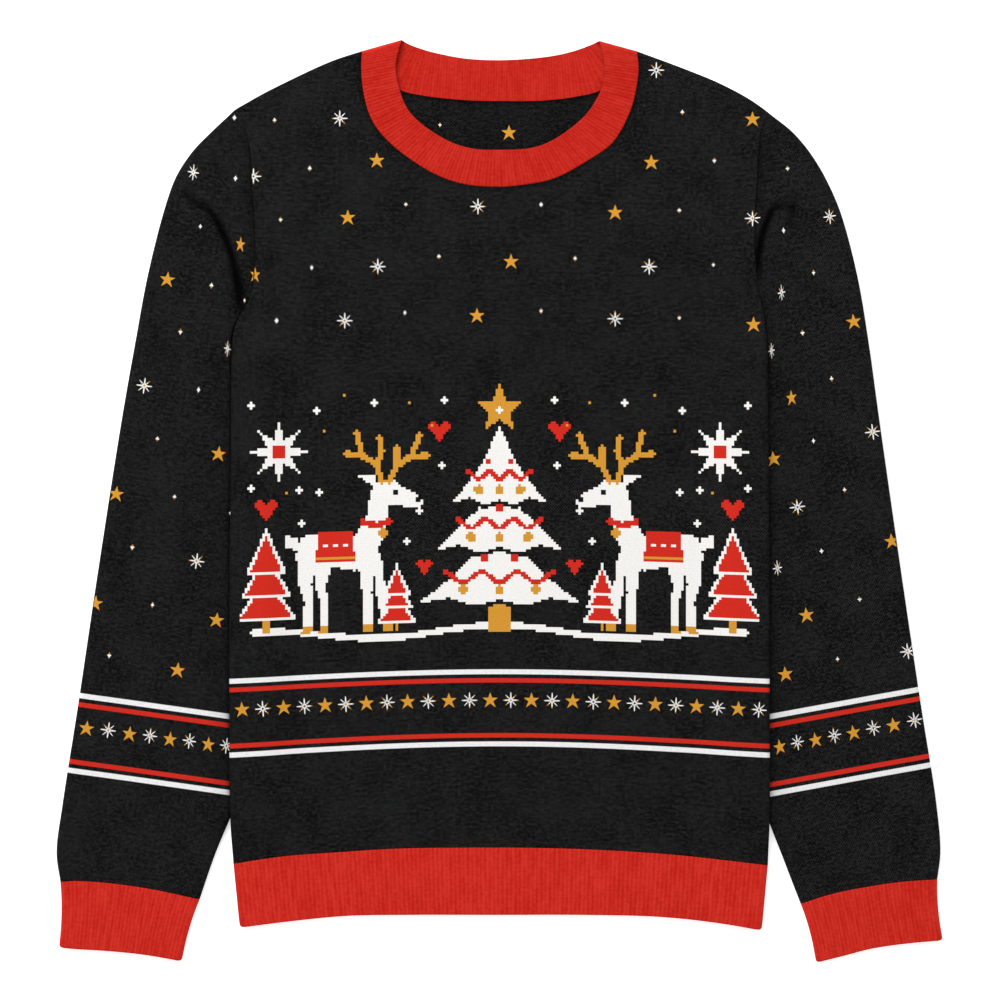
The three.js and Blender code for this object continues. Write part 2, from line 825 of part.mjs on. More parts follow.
const sweater = new THREE.Group();
sweater.add(
  knitPanel("front", frontStrip, 1),
  knitPanel("back", backStrip, -1),
  piece(
    "hem_front",
    red,
    panelGeometry(
      panelNet(hemFront, 0, 2 * hemRibs, ribs),
      panelNet(hemFront, ribWall, hemInnerColumns),
    ),
  ),
  piece(
    "hem_back",
    red,
    panelGeometry(
      panelNet(hemBack, 0, hemInnerColumns),
      panelNet(hemBack, ribWall, hemInnerColumns),
    ),
  ),
  sleeve("sleeve_left", "left", leftSleeveOuter, leftSleeveInner, leftCuffStations),
  sleeve("sleeve_right", "right", rightSleeveOuter, rightSleeveInner, rightCuffStations),
  cuff("cuff_left", leftCuffStations),
  cuff("cuff_right", rightCuffStations),
  piece("collar", red, tubeGeometry(collarOuter, collarInner, 0)),
);

// The origin is under the middle of the sweater's outline, on the surface that it lies on.
const outline = new THREE.Box3().setFromObject(sweater);
const middle = outline.getCenter(new THREE.Vector3());
sweater.position.set(-middle.x, -middle.y, -outline.min.z);

export default sweater;
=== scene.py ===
import bpy
import numpy as np
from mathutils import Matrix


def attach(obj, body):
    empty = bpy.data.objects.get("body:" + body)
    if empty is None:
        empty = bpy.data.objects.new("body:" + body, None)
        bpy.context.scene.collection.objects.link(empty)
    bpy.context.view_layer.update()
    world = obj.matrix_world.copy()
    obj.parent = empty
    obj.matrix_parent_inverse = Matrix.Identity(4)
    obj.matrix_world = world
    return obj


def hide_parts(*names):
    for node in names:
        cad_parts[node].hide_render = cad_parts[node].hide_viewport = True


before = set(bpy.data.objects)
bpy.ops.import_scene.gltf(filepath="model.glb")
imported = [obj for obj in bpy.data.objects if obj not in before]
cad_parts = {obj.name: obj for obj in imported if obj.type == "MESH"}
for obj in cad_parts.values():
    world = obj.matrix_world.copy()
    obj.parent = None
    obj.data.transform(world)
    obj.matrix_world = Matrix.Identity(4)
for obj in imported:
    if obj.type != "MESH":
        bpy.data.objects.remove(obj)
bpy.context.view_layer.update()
mm = 0.001
view = {  # what the camera sees: mm, mm, m, and the middle of its picture in pixels
    "mmPerPixel": 0.84, "centre": (0.42, 0.84), "height": 4.0, "middle": (499.5, 501.0),
}
print("frame loaded")

# shared shape helpers: everything is worked out in millimetres and turned to metres at the end


def softStep(low, high, value):  # 0 below low, 1 above high, a smooth S between
    t = np.clip((value - low) / (high - low), 0, 1)
    return t * t * (3 - 2 * t)


def mix(a, b, share):
    return a + (b - a) * share


def fall(distance, width):  # 1 at an edge, down to 0 one width in
    return 1 - softStep(0, width, distance)


def curveThrough(points, perSegment=40):  # a centripetal Catmull-Rom curve: points by share of its length
    p = np.asarray(points, float)
    p = np.vstack([2 * p[0] - p[1], p, 2 * p[-1] - p[-2]])
    gap = np.maximum(np.sum((p[1:] - p[:-1]) ** 2, axis=1) ** 0.25, 1e-6)[:, None]
    before, start, end, after = p[:-3], p[1:-2], p[2:-1], p[3:]
    g0, g1, g2 = gap[:-2], gap[1:-1], gap[2:]
    leave = ((start - before) / g0 - (end - before) / (g0 + g1) + (end - start) / g1) * g1
    arrive = ((end - start) / g1 - (after - start) / (g1 + g2) + (after - end) / g2) * g1
    t = np.linspace(0, 1, perSegment, endpoint=False)[None, :, None]
    c2 = -3 * start + 3 * end - 2 * leave - arrive
    c3 = 2 * start - 2 * end + leave + arrive
    xy = start[:, None] + leave[:, None] * t + c2[:, None] * t**2 + c3[:, None] * t**3
    xy = np.vstack([xy.reshape(-1, 2), p[-2]])
    length = np.r_[0, np.cumsum(np.hypot(*np.diff(xy, axis=0).T))]
    return {"share": length / length[-1], "xy": xy, "length": length[-1]}


def follow(curve, share):  # the points at these shares of a curve's length
    share = np.asarray(share, float)
    return np.stack([np.interp(share, curve["share"], curve["xy"][:, i]) for i in (0, 1)], axis=-1)


def chain(curves, stops):  # curves end to end, each with its own stretch of the way from 0 to 1
    shares = [mix(stops[i], stops[i + 1], c["share"]) for i, c in enumerate(curves)]
    return {"share": np.concatenate(shares), "xy": np.vstack([c["xy"] for c in curves])}


def even(count):
    return np.linspace(0, 1, count + 1)


# the sweater's outline, in mm from the middle of the part, in rows of x and y for each side

outline = {
    "sideLeft": [(-223.3, -304), (-225.5, -269.6), (-226.4, -167.2), (-225.9, -40), (-224.7, 70.6),
                 (-224.5, 118), (-222.4, 144.5), (-216.9, 157.7)],
    "sideRight": [(225.2, -305.3), (226.4, -266.3), (226.4, -167.2), (226.2, -40), (225.3, 70.6),
                  (224.7, 130), (222.9, 151), (216.3, 181.4)],
    "armholeLeft": [(-216.9, 157.7), (-209, 171.1), (-205, 200.2), (-205.6, 236), (-207.5, 262.9),
                    (-209, 294.3), (-214.6, 314.4), (-222.4, 327.9)],
    "armholeRight": [(216.3, 181.4), (214.6, 200), (213.7, 225), (214.6, 250), (216.1, 269.6),
                     (217.7, 296.5), (220, 312), (225, 326.3)],
    "shoulderLeft": [(-222.4, 327.9), (-205, 338.2), (-183.5, 349.4), (-140.7, 369.2), (-115.2, 377.6)],
    "shoulderRight": [(225, 326.3), (210.4, 336.8), (185.2, 350.3), (152.5, 363.7), (115.1, 377.5)],
}
neck = {  # the collar's seam and its free edge, from its left fold to its right fold
    "frontSeam": [(-115.2, 377.6), (-116, 362.9), (-113.4, 338.9), (-106.5, 318.4), (-91.1, 299.5),
                  (-56.9, 275.5), (-31.2, 266), (0, 263.4), (30, 266.6), (47.7, 271.2), (71.7, 284),
                  (94, 299.5), (106, 318.4), (112.9, 337), (116.7, 362.9), (115.1, 377.5)],
    "frontFree": [(-82.1, 386.9), (-86.9, 366), (-84.5, 348), (-77.4, 329.6), (-65.4, 316.6),
                  (-42, 301.8), (-22.5, 295.7), (0, 294.7), (25.5, 296), (41, 301), (60, 313),
                  (74, 326), (82, 338.5), (87.2, 350.5), (88, 366), (83.7, 386.1)],
    "backSeam": [(-115.2, 377.6), (-104, 358.5), (-83.1, 344.9), (-65.4, 340.6), (-31.2, 336.7),
                 (0, 335.8), (37.4, 336.3), (63.2, 339.3), (85.4, 344.9), (105, 358.5), (115.1, 377.5)],
    "backFree": [(-82.1, 386.9), (-76, 383.4), (-64, 379), (-51.7, 375.7), (-27.7, 371.4),
                 (0, 370.1), (31, 371.9), (51.2, 374.9), (65.5, 378.7), (77, 383), (83.7, 386.1)],
}
hem = {
    "seam": [(-223.3, -304), (-183, -298.1), (-131.5, -294.2), (-80.2, -291.3), (0, -290.6),
             (69, -292), (137.6, -295.9), (189, -301.1), (225.2, -305.3)],
    "edge": [(-218, -357.9), (-179, -353), (-129, -348.2), (-79, -347.3), (0, -347.3),
             (68, -347.3), (135, -349), (185.5, -354.4), (220.1, -360.3)],
}
sleeves = {
    "left": {
        "outer": [(-222.9, 328.2), (-241.5, 310), (-254.9, 296.5), (-265, 283.1), (-272.6, 269.6),
                  (-281.8, 242.8), (-295.3, 189), (-305.3, 135.2), (-317.1, 68), (-338.1, -66.4),
                  (-354.1, -173.9), (-366.7, -254.5), (-371.7, -294.8), (-368.5, -319.5)],
        "inner": [(-216.9, 157.7), (-222.4, 144.5), (-224.5, 118), (-221.3, 92), (-212.9, 17.6),
                  (-207.9, -49.6), (-204.6, -134), (-207.9, -200.8), (-215.5, -238.6), (-239, -297.4),
                  (-251.6, -334)],
        "cuffSeam": [(-368.5, -319.5), (-357.3, -318.6), (-329.9, -320.3), (-293.5, -325.4), (-251.6, -334)],
        "cuffEdge": [(-369.8, -374.4), (-356, -375.8), (-331, -377.4), (-299, -380.6), (-266.6, -386.2)],
    },
    "right": {
        "outer": [(225.2, 326.5), (244.9, 310.6), (257.5, 296.5), (266.7, 283.1), (274.3, 269.6),
                  (286, 242.8), (300.3, 189), (309.5, 135.2), (318.8, 68), (338.1, -66.4),
                  (354.1, -173.9), (366.7, -254.5), (370, -294.8), (367.4, -317.2)],
        "inner": [(216.3, 181.4), (222.9, 151), (224.7, 130), (221.3, 92), (212.9, 17.6),
                  (207.9, -49.6), (204.6, -134), (207.9, -200.8), (215.5, -238.6), (239.8, -304.4),
                  (252.7, -337.8)],
        "cuffSeam": [(367.4, -317.2), (340.1, -319), (303.7, -324.5), (276.4, -330.3), (252.7, -337.8)],
        "cuffEdge": [(372.2, -368.4), (344, -371), (312.7, -375.5), (287.3, -382), (265.6, -387.4)],
    },
}

levels = {  # walls, the top face's heights above the floor, and how wide the falls to them are
    "knitWall": 2.2, "ribWall": 2.4, "ribRise": 0.6, "edgeRound": 1.0, "frontLift": 0.35, "air": 0.25,
    "bodyMiddle": 5.6, "hemMiddle": 5.7, "fold": 7.7, "sleeveMiddle": 5.6, "sleeveCap": 7.2,
    "tucked": 6.0, "cuffMiddle": 6.2, "collarMiddle": 5.8, "collarFold": 9.0,
    "bodyFall": 60, "sleeveFall": 45, "collarFall": 90,
}
ride = {"height": 6.4, "side": (164, 200), "top": (116, 151), "bottom": (-303, -262)}

# heights: one function for each layer, so that every piece and motif lies on the same forms. The creases are
# soft troughs and ridges. Each row has its points, its depth, its half-width and the swell of its
# flanks, all in mm.
creases = {
    "sleeves": [
        ([(-266, 259), (-254, 249), (-244.4, 244.4), (-231.8, 223.9), (-224, 203.5), (-220.9, 183.2),
          (-219.6, 160)], 4.3, 3.6, 1.7),
        ([(244.5, 246.2), (231, 245.9), (225.5, 236.5), (220.8, 223.9), (217.6, 208.2), (216.8, 195.7),
          (217.4, 184)], 4.2, 3.6, 1.5),
        ([(-270, 258), (-262, 250), (-256, 240)], 1.6, 4, 0.4),
        ([(-244, 248), (-250, 246), (-258, 243)], 1.8, 4.5, 0.4),
        ([(249, 257), (246, 240), (241.5, 227)], 2.3, 3.2, 0.7),
        ([(-219, 190), (-215, 176), (-216.5, 160)], 2.6, 4.5, 0),
        ([(-256, 222), (-247, 196), (-243, 168)], 0.7, 9, 0.3),
        ([(262, 220), (250, 188), (247, 160)], 0.6, 9, 0.3),
        ([(-234, 294), (-222, 284), (-214, 268)], 0.8, 8, 0.2),
        ([(238, 290), (229, 276), (223, 258)], 0.8, 8, 0.2),
        ([(-300, 40), (-276, 26), (-250, 24)], 0.6, 12, 0.3),
        ([(312, 10), (284, -8), (252, -4)], 0.6, 12, 0.3),
        ([(-330, -110), (-305, -128), (-262, -130)], 0.5, 13, 0),
        ([(352, -230), (322, -246), (288, -250)], 0.6, 10, 0),
        ([(-262, -300), (-284, -282), (-312, -276)], 0.6, 9, 0),
    ],
    "front": [
        ([(-150, -228), (-146, -262), (-143, -290)], 1.2, 5.5, 0.6),
        ([(-132, -240), (-130, -268), (-129, -294)], -0.6, 5, 0),
        ([(-22, -240), (-20.5, -264), (-20, -290)], 0.9, 5.5, 0.4),
        ([(145, -230), (149, -256), (150, -284)], 0.9, 6, 0.4),
        ([(-212, -218), (-200, -250), (-196, -282)], 0.7, 7, 0.2),
        ([(-196, 196), (-176, 176), (-164, 150)], 0.6, 11, 0.2),
        ([(199, 214), (180, 190), (168, 160)], 0.6, 11, 0.2),
    ],
    "under": [  # the hidden side's own, pressed up from the floor
        ([(-190, 250), (-150, 262), (-110, 258)], 0.9, 9, 0),
        ([(182, 236), (150, 250), (120, 244)], 0.8, 8, 0),
        ([(-140, 60), (-90, 44), (-40, 50)], 0.7, 12, 0),
        ([(60, -110), (100, -128), (138, -120)], 0.7, 11, 0),
        ([(-90, -230), (-86, -262), (-85, -288)], 0.8, 7, 0),
        ([(44, -236), (46, -262), (47, -289)], 0.7, 6, 0),
        ([(-262, 236), (-250, 206), (-238, 176)], 1.0, 8, 0),
        ([(258, 232), (246, 200), (236, 176)], 0.9, 8, 0),
        ([(-326, -60), (-296, -78), (-262, -80)], 0.8, 12, 0),
        ([(330, -90), (300, -112), (268, -112)], 0.8, 11, 0),
    ],
}


def creaseAt(x, y, rows, swelling=True):
    # depth * exp(-(d / half)^2) less swell * exp(-(d / 3 half)^2) for the flanks, tapered to both ends
    total = np.zeros_like(x)
    share = even(60)
    taper = np.sin(np.pi * (share * 0.9 + 0.05)) ** 0.5
    for points, depth, half, swell in rows:
        line = follow(curveThrough(points), share)
        reach = 7 * half  # beyond this the swell is too small to matter
        box = np.abs(x - line[:, 0].mean()) < np.ptp(line[:, 0]) / 2 + reach
        box &= np.abs(y - line[:, 1].mean()) < np.ptp(line[:, 1]) / 2 + reach
        if not box.any():
            continue
        away = np.hypot(x[box][:, None] - line[:, 0], y[box][:, None] - line[:, 1]) / half
        total[box] += depth * np.max(taper * np.exp(-(away**2)), axis=1)
        if swelling:
            total[box] -= swell * np.max(taper * np.exp(-((away / 3) ** 2)), axis=1)
    return total


def rideAt(x, y):  # how far the tucked sleeve edges lift the body's edges
    under = (1 - softStep(*ride["top"], y)) * softStep(*ride["bottom"], y)
    return ride["height"] * softStep(*ride["side"], np.abs(x)) * under


def unevenAt(x, y):  # cloth smoothed by hand is never level: three long sine waves that cross
    return 0.22 * np.sin(x / 31 + y / 83) + 0.18 * np.sin(y / 37 - x / 71 + 1.3) + 0.12 * np.sin((x + y) / 19)


def backHeight(x, y, edge):
    return rideAt(x, y) + 0.8 * creaseAt(x, y, creases["under"]) * softStep(4, 30, edge)


def frontHeight(x, y, edge):  # never closer to the back panel than the two walls and a little air
    fallen = mix(levels["bodyMiddle"], levels["fold"], fall(edge, levels["bodyFall"]))
    fallen = fallen + levels["frontLift"] + rideAt(x, y)
    shaped = fallen + unevenAt(x, y) * softStep(2, 22, edge) - creaseAt(x, y, creases["front"])
    return np.maximum(shaped, backHeight(x, y, edge) + 2 * levels["knitWall"] + levels["air"])


def hemHeight(x, y, edge):
    fallen = mix(levels["hemMiddle"], levels["fold"], fall(edge, levels["bodyFall"]))
    return fallen + rideAt(x, y) + 0.4 * unevenAt(x, y) * softStep(2, 22, edge)


def hemBackHeight(x, y, edge):
    return rideAt(x, y)


def armholeAway(x, y):  # how far outside the armhole seam a point lies: the seam's x by its y
    left = np.interp(y, [150, 171, 200, 236, 263, 294, 328], [217, 209, 205, 205.6, 207.5, 209, 222.4])
    right = np.interp(y, [181, 200, 225, 250, 270, 297, 325],
                      [216.3, 214.6, 213.7, 214.6, 216.1, 217.7, 224.4])
    return np.abs(x) - np.where(x < 0, left, right)


def awayFrom(x, y, points):  # the distance to a curve through these points
    line = follow(curveThrough(points), even(160))
    return np.min(np.hypot(x[:, None] - line[:, 0], y[:, None] - line[:, 1]), axis=1)


paintedShades = {  # painted shade along a line: how dark, from 0 to 1, and how many mm to each side
    "armhole": [(0.28, 8), (0.3, 1.7)], "bodyEdge": [(0.15, 16)], "leftBodyEdge": [(0.62, 2.4)],
    "collarSeam": [(0.5, 2.8)], "insideNeck": 0.2, "deepFrom": 2.2, "deepFull": 3.5,
    "topSide": 3.5, "innerSide": 1.1,  # only the faces above these heights get the painted shade
}


def shadeBeside(away, rows):
    return sum(dark * np.exp(-((away / width) ** 2)) for dark, width in rows)


def paintedSleeveShade(x, y, z):  # painted shade: 0 on open cloth to 1 deep in a fold, with painted shade beside the armhole seam and a painted shadow of the body's edge on the sleeve
    folds = [row for row in creases["sleeves"] if row[1] > paintedShades["deepFrom"]]
    deep = (creaseAt(x, y, folds, False) / paintedShades["deepFull"]) ** 1.3
    beside = shadeBeside(armholeAway(x, y), paintedShades["armhole"])
    beside = beside * softStep(165, 190, y) * (1 - softStep(290, 320, y))
    away = np.maximum(np.abs(x) + np.interp(y, *np.array(outline["sideLeft"]).T[::-1]), 0)
    under = shadeBeside(away, paintedShades["bodyEdge"]) + (x < 0) * shadeBeside(away, paintedShades["leftBodyEdge"])
    return np.clip(np.maximum(deep, beside + under * (y < 170)), 0, 1) * (z > paintedShades["topSide"])


def paintedCollarShadow(x, y, z):  # painted shadow on the front under the collar's seam
    return shadeBeside(awayFrom(x, y, neck["frontSeam"]), paintedShades["collarSeam"]) * (z > paintedShades["topSide"])


def paintedNeckShade(x, y, z):  # painted shade on the back's inner face down in the neck, and a painted shadow under its seam
    seam = shadeBeside(awayFrom(x, y, neck["backSeam"]), paintedShades["collarSeam"])
    return (paintedShades["insideNeck"] + seam) * softStep(240, 262, y) * (z > paintedShades["innerSide"])


def edgeRound(distance, radius):  # how far a cut edge's face has turned down: radius - sqrt(radius^2 - t^2)
    t = np.clip(radius - distance, 0, radius)
    return radius - np.sqrt(radius**2 - t**2)


def roundedEnds(rows, length, radius):  # the same for rows of points at both ends of a piece
    return edgeRound(np.minimum(rows, 1 - rows) * length, radius)[:, None]


perRib = 4  # columns of points to a rib


def ribRun(ribs):  # 0 between ribs, 1 on a rib, fading at the two ends of the run
    place = even(perRib * ribs)
    ends = softStep(0, 0.03, place) * softStep(0, 0.03, 1 - place)
    return np.sin(np.pi * np.arange(perRib * ribs + 1) / perRib) ** 2 * ends


def always(value):  # a size or a height that is the same everywhere
    return lambda along, *rest: value + 0 * along


# walls: an outer and an inner net of points, closed by rims

foldAngles = [90, 72, 54, 36, 18]  # round half of a fold, down to where the face starts
halfFold = len(foldAngles)


def addMesh(name, points, faces, uv, material, fold=None):  # points and uv in mm; uv and fold for each point, fold being painted shade from 0 to 1
    mesh = bpy.data.meshes.new(name)
    mesh.from_pydata((np.asarray(points) * mm).tolist(), [], faces)
    layer = mesh.uv_layers.new(name="knit")
    corner = np.empty(len(mesh.loops), np.int32)
    mesh.loops.foreach_get("vertex_index", corner)
    layer.data.foreach_set("uv", np.asarray(uv, np.float32)[corner].ravel())
    if fold is not None:
        # the fold attribute carries painted shade, which darkens the black knit towards black
        mesh.attributes.new("fold", "FLOAT", "POINT").data.foreach_set("value", fold.astype(np.float32))
    mesh.polygons.foreach_set("use_smooth", np.ones(len(mesh.polygons), bool))
    mesh.materials.append(material)
    piece = bpy.data.objects.new(name, mesh)
    bpy.context.scene.collection.objects.link(piece)
    return piece


def netFaces(numbers, flip):  # the quads of a grid of point numbers
    a, b, c, d = numbers[:-1, :-1], numbers[:-1, 1:], numbers[1:, 1:], numbers[1:, :-1]
    quads = np.stack([a, d, c, b] if flip else [a, b, c, d], axis=-1)
    return quads.reshape(-1, 4)


def ribbonFaces(outer, inner):  # the quads between two rows of point numbers
    return np.stack([outer[:-1], outer[1:], inner[1:], inner[:-1]], axis=-1)


def wall(name, outer, inner, uv, material, openRows=None, shade=None):
    # outer and inner are grids of rows, columns and xyz. A panel has a rim all round. A tube (openRows given)
    # joins its first and last columns, but its first openRows rows stop halfFold columns short: the armhole.
    rows, columns = outer.shape[:2]
    numbers = np.arange(rows * columns).reshape(rows, columns)
    if openRows is not None:
        numbers[:, -1] = numbers[:, 0]
    other = numbers + rows * columns
    if openRows is None:
        faces = [netFaces(numbers, False), netFaces(other, True)]
        faces.append(ribbonFaces(numbers[0], other[0])[:, ::-1])
        faces.append(ribbonFaces(numbers[-1], other[-1]))
        faces.append(ribbonFaces(numbers[:, 0], other[:, 0]))
        faces.append(ribbonFaces(numbers[:, -1], other[:, -1])[:, ::-1])
    else:
        cut = slice(halfFold, columns - halfFold)
        closed, opened = slice(openRows, None), slice(0, openRows + 1)
        faces = [netFaces(numbers[closed], False), netFaces(other[closed], True)]
        faces.append(ribbonFaces(numbers[-1], other[-1]))
        first = cut if openRows else slice(None)
        faces.append(ribbonFaces(numbers[0, first], other[0, first])[:, ::-1])
        if openRows:
            faces += [netFaces(numbers[opened, cut], False), netFaces(other[opened, cut], True)]
            left, right = halfFold, columns - halfFold - 1
            faces.append(ribbonFaces(numbers[opened, left], other[opened, left]))
            faces.append(ribbonFaces(numbers[opened, right], other[opened, right])[:, ::-1])
            for end in (slice(0, halfFold + 1), slice(right, None)):
                faces.append(ribbonFaces(numbers[openRows, end], other[openRows, end])[:, ::-1])
    faces = np.vstack(faces)
    points = np.vstack([outer.reshape(-1, 3), inner.reshape(-1, 3)])
    used = np.zeros(len(points), bool)
    used[faces] = True
    renumber = np.cumsum(used) - 1
    faces = renumber[faces]
    points = points[used]
    uvs = np.vstack([uv.reshape(-1, 2)] * 2)[used]
    a, b, c = (points[faces[:, i]] for i in (0, 1, 2))
    d = points[faces[:, 3]]
    volume = np.sum(a * np.cross(b, c)) + np.sum(a * np.cross(c, d))
    if volume < 0:  # faces point outwards
        faces = faces[:, ::-1]
    # shade, when given, works out each point's painted shade for the fold attribute
    return addMesh(name, points, faces.tolist(), uvs, material, shade and shade(*points.T))


# nets of points for a panel whose sides roll over, for a flattened tube, and for the collar ring


def panelNet(patch, rows, columns, inset, side, height, folded, drops=0, rise=0):
    # side is 1 in front, -1 at the back. On the roll, reach = R - (R - inset) sin a and drop has cos a.
    radius = levels["fold"] / 2
    angle = np.radians(foldAngles)
    along = np.asarray(rows)[:, None]
    pace = [np.hypot(*np.moveaxis(patch(np.full_like(along, e), along)
                                  - patch(np.full_like(along, abs(e - 0.002)), along), -1, 0)) / 0.002
            for e in (0, 1)]
    foldShare = folded(along)
    plain = radius * (1 - np.sin(angle))
    reach = mix(plain, radius - (radius - inset) * np.sin(angle), foldShare)
    flat = inset if inset else edgeRound(plain, levels["edgeRound"])
    drop = mix(flat, radius - (radius - inset) * np.cos(angle), foldShare)
    place = even(columns)
    middle = mix(radius / pace[0], 1 - radius / pace[1], place)
    across = np.hstack([reach / pace[0], middle, 1 - reach[:, ::-1] / pace[1]])
    allDrop = np.hstack([drop, np.full_like(middle, inset), drop[:, ::-1]])
    ribRow = np.zeros(across.shape[1])
    ribRow[len(angle):-len(angle)] = levels["ribRise"] * rise
    xy = patch(across, along + 0 * across)
    edge = np.minimum(across * pace[0], (1 - across) * pace[1]) - radius
    z = height(xy[..., 0], xy[..., 1], edge) - side * (allDrop + drops - ribRow)
    return np.dstack([xy, z])


def tubeNet(tube, inset, topColumns, bottomColumns, drops=0, topRise=0, bottomRise=0):
    # rows cross the tube from its outer edge to its inner edge: over the top, round a fold, back underneath
    half = np.radians(foldAngles)
    along = np.asarray(tube["rows"])[:, None]
    ends = [tube["patch"](np.full_like(along, e), along) for e in (0, 1)]
    width = np.hypot(*np.moveaxis(ends[1] - ends[0], -1, 0))
    middle, inner = tube["middle"](along), tube["inner"](along)
    outerReach = np.minimum(levels["fold"] / 2, 0.45 * width)
    innerReach = np.minimum(inner / 2, 0.45 * width) * tube["rolled"](along)

    def bend(reach, height, angle):  # an ellipse round a fold, the wall's inner face one wall inside
        across = (reach - np.minimum(inset, 0.8 * reach)) * np.sin(angle)
        return across, height / 2 + (height / 2 - inset) * np.cos(angle)

    def innerEnd(angle):
        across, z = bend(innerReach, inner, angle)
        return width - innerReach + across, z

    def outerEnd(angle):
        across, z = bend(outerReach, levels["fold"], angle)
        return outerReach - across, z

    top = mix(width - innerReach, outerReach, even(topColumns) ** tube.get("crowd", 1.0))
    shape = fall(top - outerReach, levels["sleeveFall"]) * (levels["fold"] - middle)
    shape = middle + shape + fall(width - top - innerReach, levels["sleeveFall"]) * (inner - middle)
    bottom = mix(outerReach, width - innerReach, even(bottomColumns))
    runs = [innerEnd(half), (top, shape), outerEnd(half[::-1]), outerEnd(np.pi - half[1:]),
            (bottom, 0 * bottom), innerEnd(np.pi - half[::-1])]
    across = np.hstack([run[0] for run in runs])
    z = np.hstack([run[1] + 0 * run[0] for run in runs])
    xy = tube["patch"](across / width, along + 0 * across)
    start = len(half)
    over = slice(start, start + topColumns + 1)
    start += topColumns + 1 + 2 * len(half) - 1
    under = slice(start, start + bottomColumns + 1)
    x, y = xy[..., 0], xy[..., 1]
    lift = tube["lift"](x[:, under], y[:, under]) * np.sin(np.pi * even(bottomColumns)) ** 0.5
    z[:, under] += lift + inset + drops - levels["ribRise"] * bottomRise
    laid = z[:, over] + tube["shape"](x[:, over], y[:, over]) * softStep(0, 12, top - outerReach)
    seamDrop = edgeRound(width - innerReach - top, levels["edgeRound"]) * (1 - tube["rolled"](along))
    z[:, over] = np.maximum(laid, 2 * tube["wall"] + 0.3) - inset - drops - (0 if inset else seamDrop)
    z[:, over] += levels["ribRise"] * topRise
    return np.dstack([xy, z])


def seamOnFront(t):  # t: 0 at a fold, 1 at the middle; the ribs start level at the folds, closer at the seam
    return t - 0.65 * t * (np.exp(-t / 0.3) - np.exp(-1 / 0.3))


def seamOnBack(t):  # the ribs stand upright as far as they show, and fan out under the front
    return 1 - 0.65 * (1 - t) - 0.35 * (1 - t) ** 8


def bothHalves(along, seamOn):
    near = seamOn(2 * np.minimum(along, 1 - along)) / 2
    return np.where(along < 0.5, near, 1 - near)


def collarNet(rows, inset, frontColumns, backColumns, drops, frontRise=0, backRise=0):
    radius = levels["collarFold"] / 2
    half = np.radians(foldAngles)
    across = np.asarray(rows)[:, None]

    def strip(side, share, seamShare=None):  # a point on the band: straight from its seam to its free edge
        seam = follow(side["seam"], share if seamShare is None else seamShare)
        return mix(seam, follow(side["free"], share), across[..., None])

    def lengthOf(side):
        return mix(side["seam"]["length"], side["free"]["length"], across)

    def folded(side, angle, onRight):
        share = (radius - (radius - inset) * np.sin(angle)) / lengthOf(side)
        return np.dstack([strip(side, 1 - share if onRight else share),
                          radius + (radius - inset) * np.cos(angle) + 0 * share])

    frontLength, backLength = lengthOf(frontStrip), lengthOf(backStrip)
    start = radius / frontLength
    share = mix(start, 1 - start, even(frontColumns))
    seamShare = mix(start, 1 - start, bothHalves(even(frontColumns), seamOnFront))
    place = mix(seamShare, share, across)
    edge = np.minimum(place, 1 - place) * frontLength - radius
    height = mix(levels["collarMiddle"], levels["collarFold"], fall(edge, levels["collarFall"]))
    front = np.dstack([strip(frontStrip, share, seamShare),
                       height - inset - drops + levels["ribRise"] * frontRise])
    start = radius / backLength
    share = mix(1 - start, start, even(backColumns))
    seamShare = mix(1 - start, start, bothHalves(even(backColumns), seamOnBack))
    back = np.dstack([strip(backStrip, share, seamShare),
                      inset + drops + levels["ribRise"] * backRise + 0 * share])
    return np.hstack([
        folded(frontStrip, half, False), front, folded(frontStrip, half[::-1], True),
        folded(backStrip, np.pi - half[1:], True), back, folded(backStrip, np.pi - half[::-1], False),
    ])


# materials: all of this is spun yarn, knitted by machine


def linear(code):  # sRGB hex to linear light, with the alpha that Blender wants
    value = np.array([int(code[i:i + 2], 16) for i in (1, 3, 5)]) / 255
    light = np.where(value <= 0.04045, value / 12.92, ((value + 0.055) / 1.055) ** 2.4)
    return tuple(light.tolist()) + (1.0,)


def addNode(tree, kind, *inputs, out=0, **settings):
    # one node: its settings, then its inputs as links or constants, in order or in a dictionary by socket
    node = tree.nodes.new("ShaderNode" + kind)
    for name, value in settings.items():
        setattr(node, name, value)
    given = inputs[0] if inputs and isinstance(inputs[0], dict) else dict(enumerate(inputs))
    for name, value in given.items():
        if isinstance(value, bpy.types.NodeSocket):
            tree.links.new(value, node.inputs[name])
        else:
            node.inputs[name].default_value = value
    return node.outputs[out] if len(node.outputs) else node


knit = {  # real sizes in mm; the stitches are drawn twice as large as the yarn's, so that they show
    "wale": 2.2, "course": 1.3, "slant": 0.85, "rise": 0.22, "rough": 0.92, "gloss": 0.03,
    "dark": "#0a0a0a", "light": "#272727", "red": "#ca2c20", "white": "#eae9ea",
    "whiteAt": 30.24, "whiteHalf": 2.05, "redAt": 23.05, "redHalf": 1.87,
    # the last of these sets how far the fold attribute's painted shade darkens the cloth towards black
    "brick": 0.75, "middle": 0.36, "paintedFoldShade": 0.92,
    # each kind of unevenness: length and height in mm, detail, and how much it adds to the shade;
    # wander adds nothing and only bends the rows of loops
    "grain": {"patches": (33, 33, 3, 0.9), "wander": (14, 14, 2, 0), "fleck": (2.5, 2.1, 1, 2.3),
              "streak": (7, 2.6, 2, 1.35), "thin": (4.6, 1.5, 1, 1.1)},
    "blur": 0.25,  # half the width over which a stripe's edge fades
}
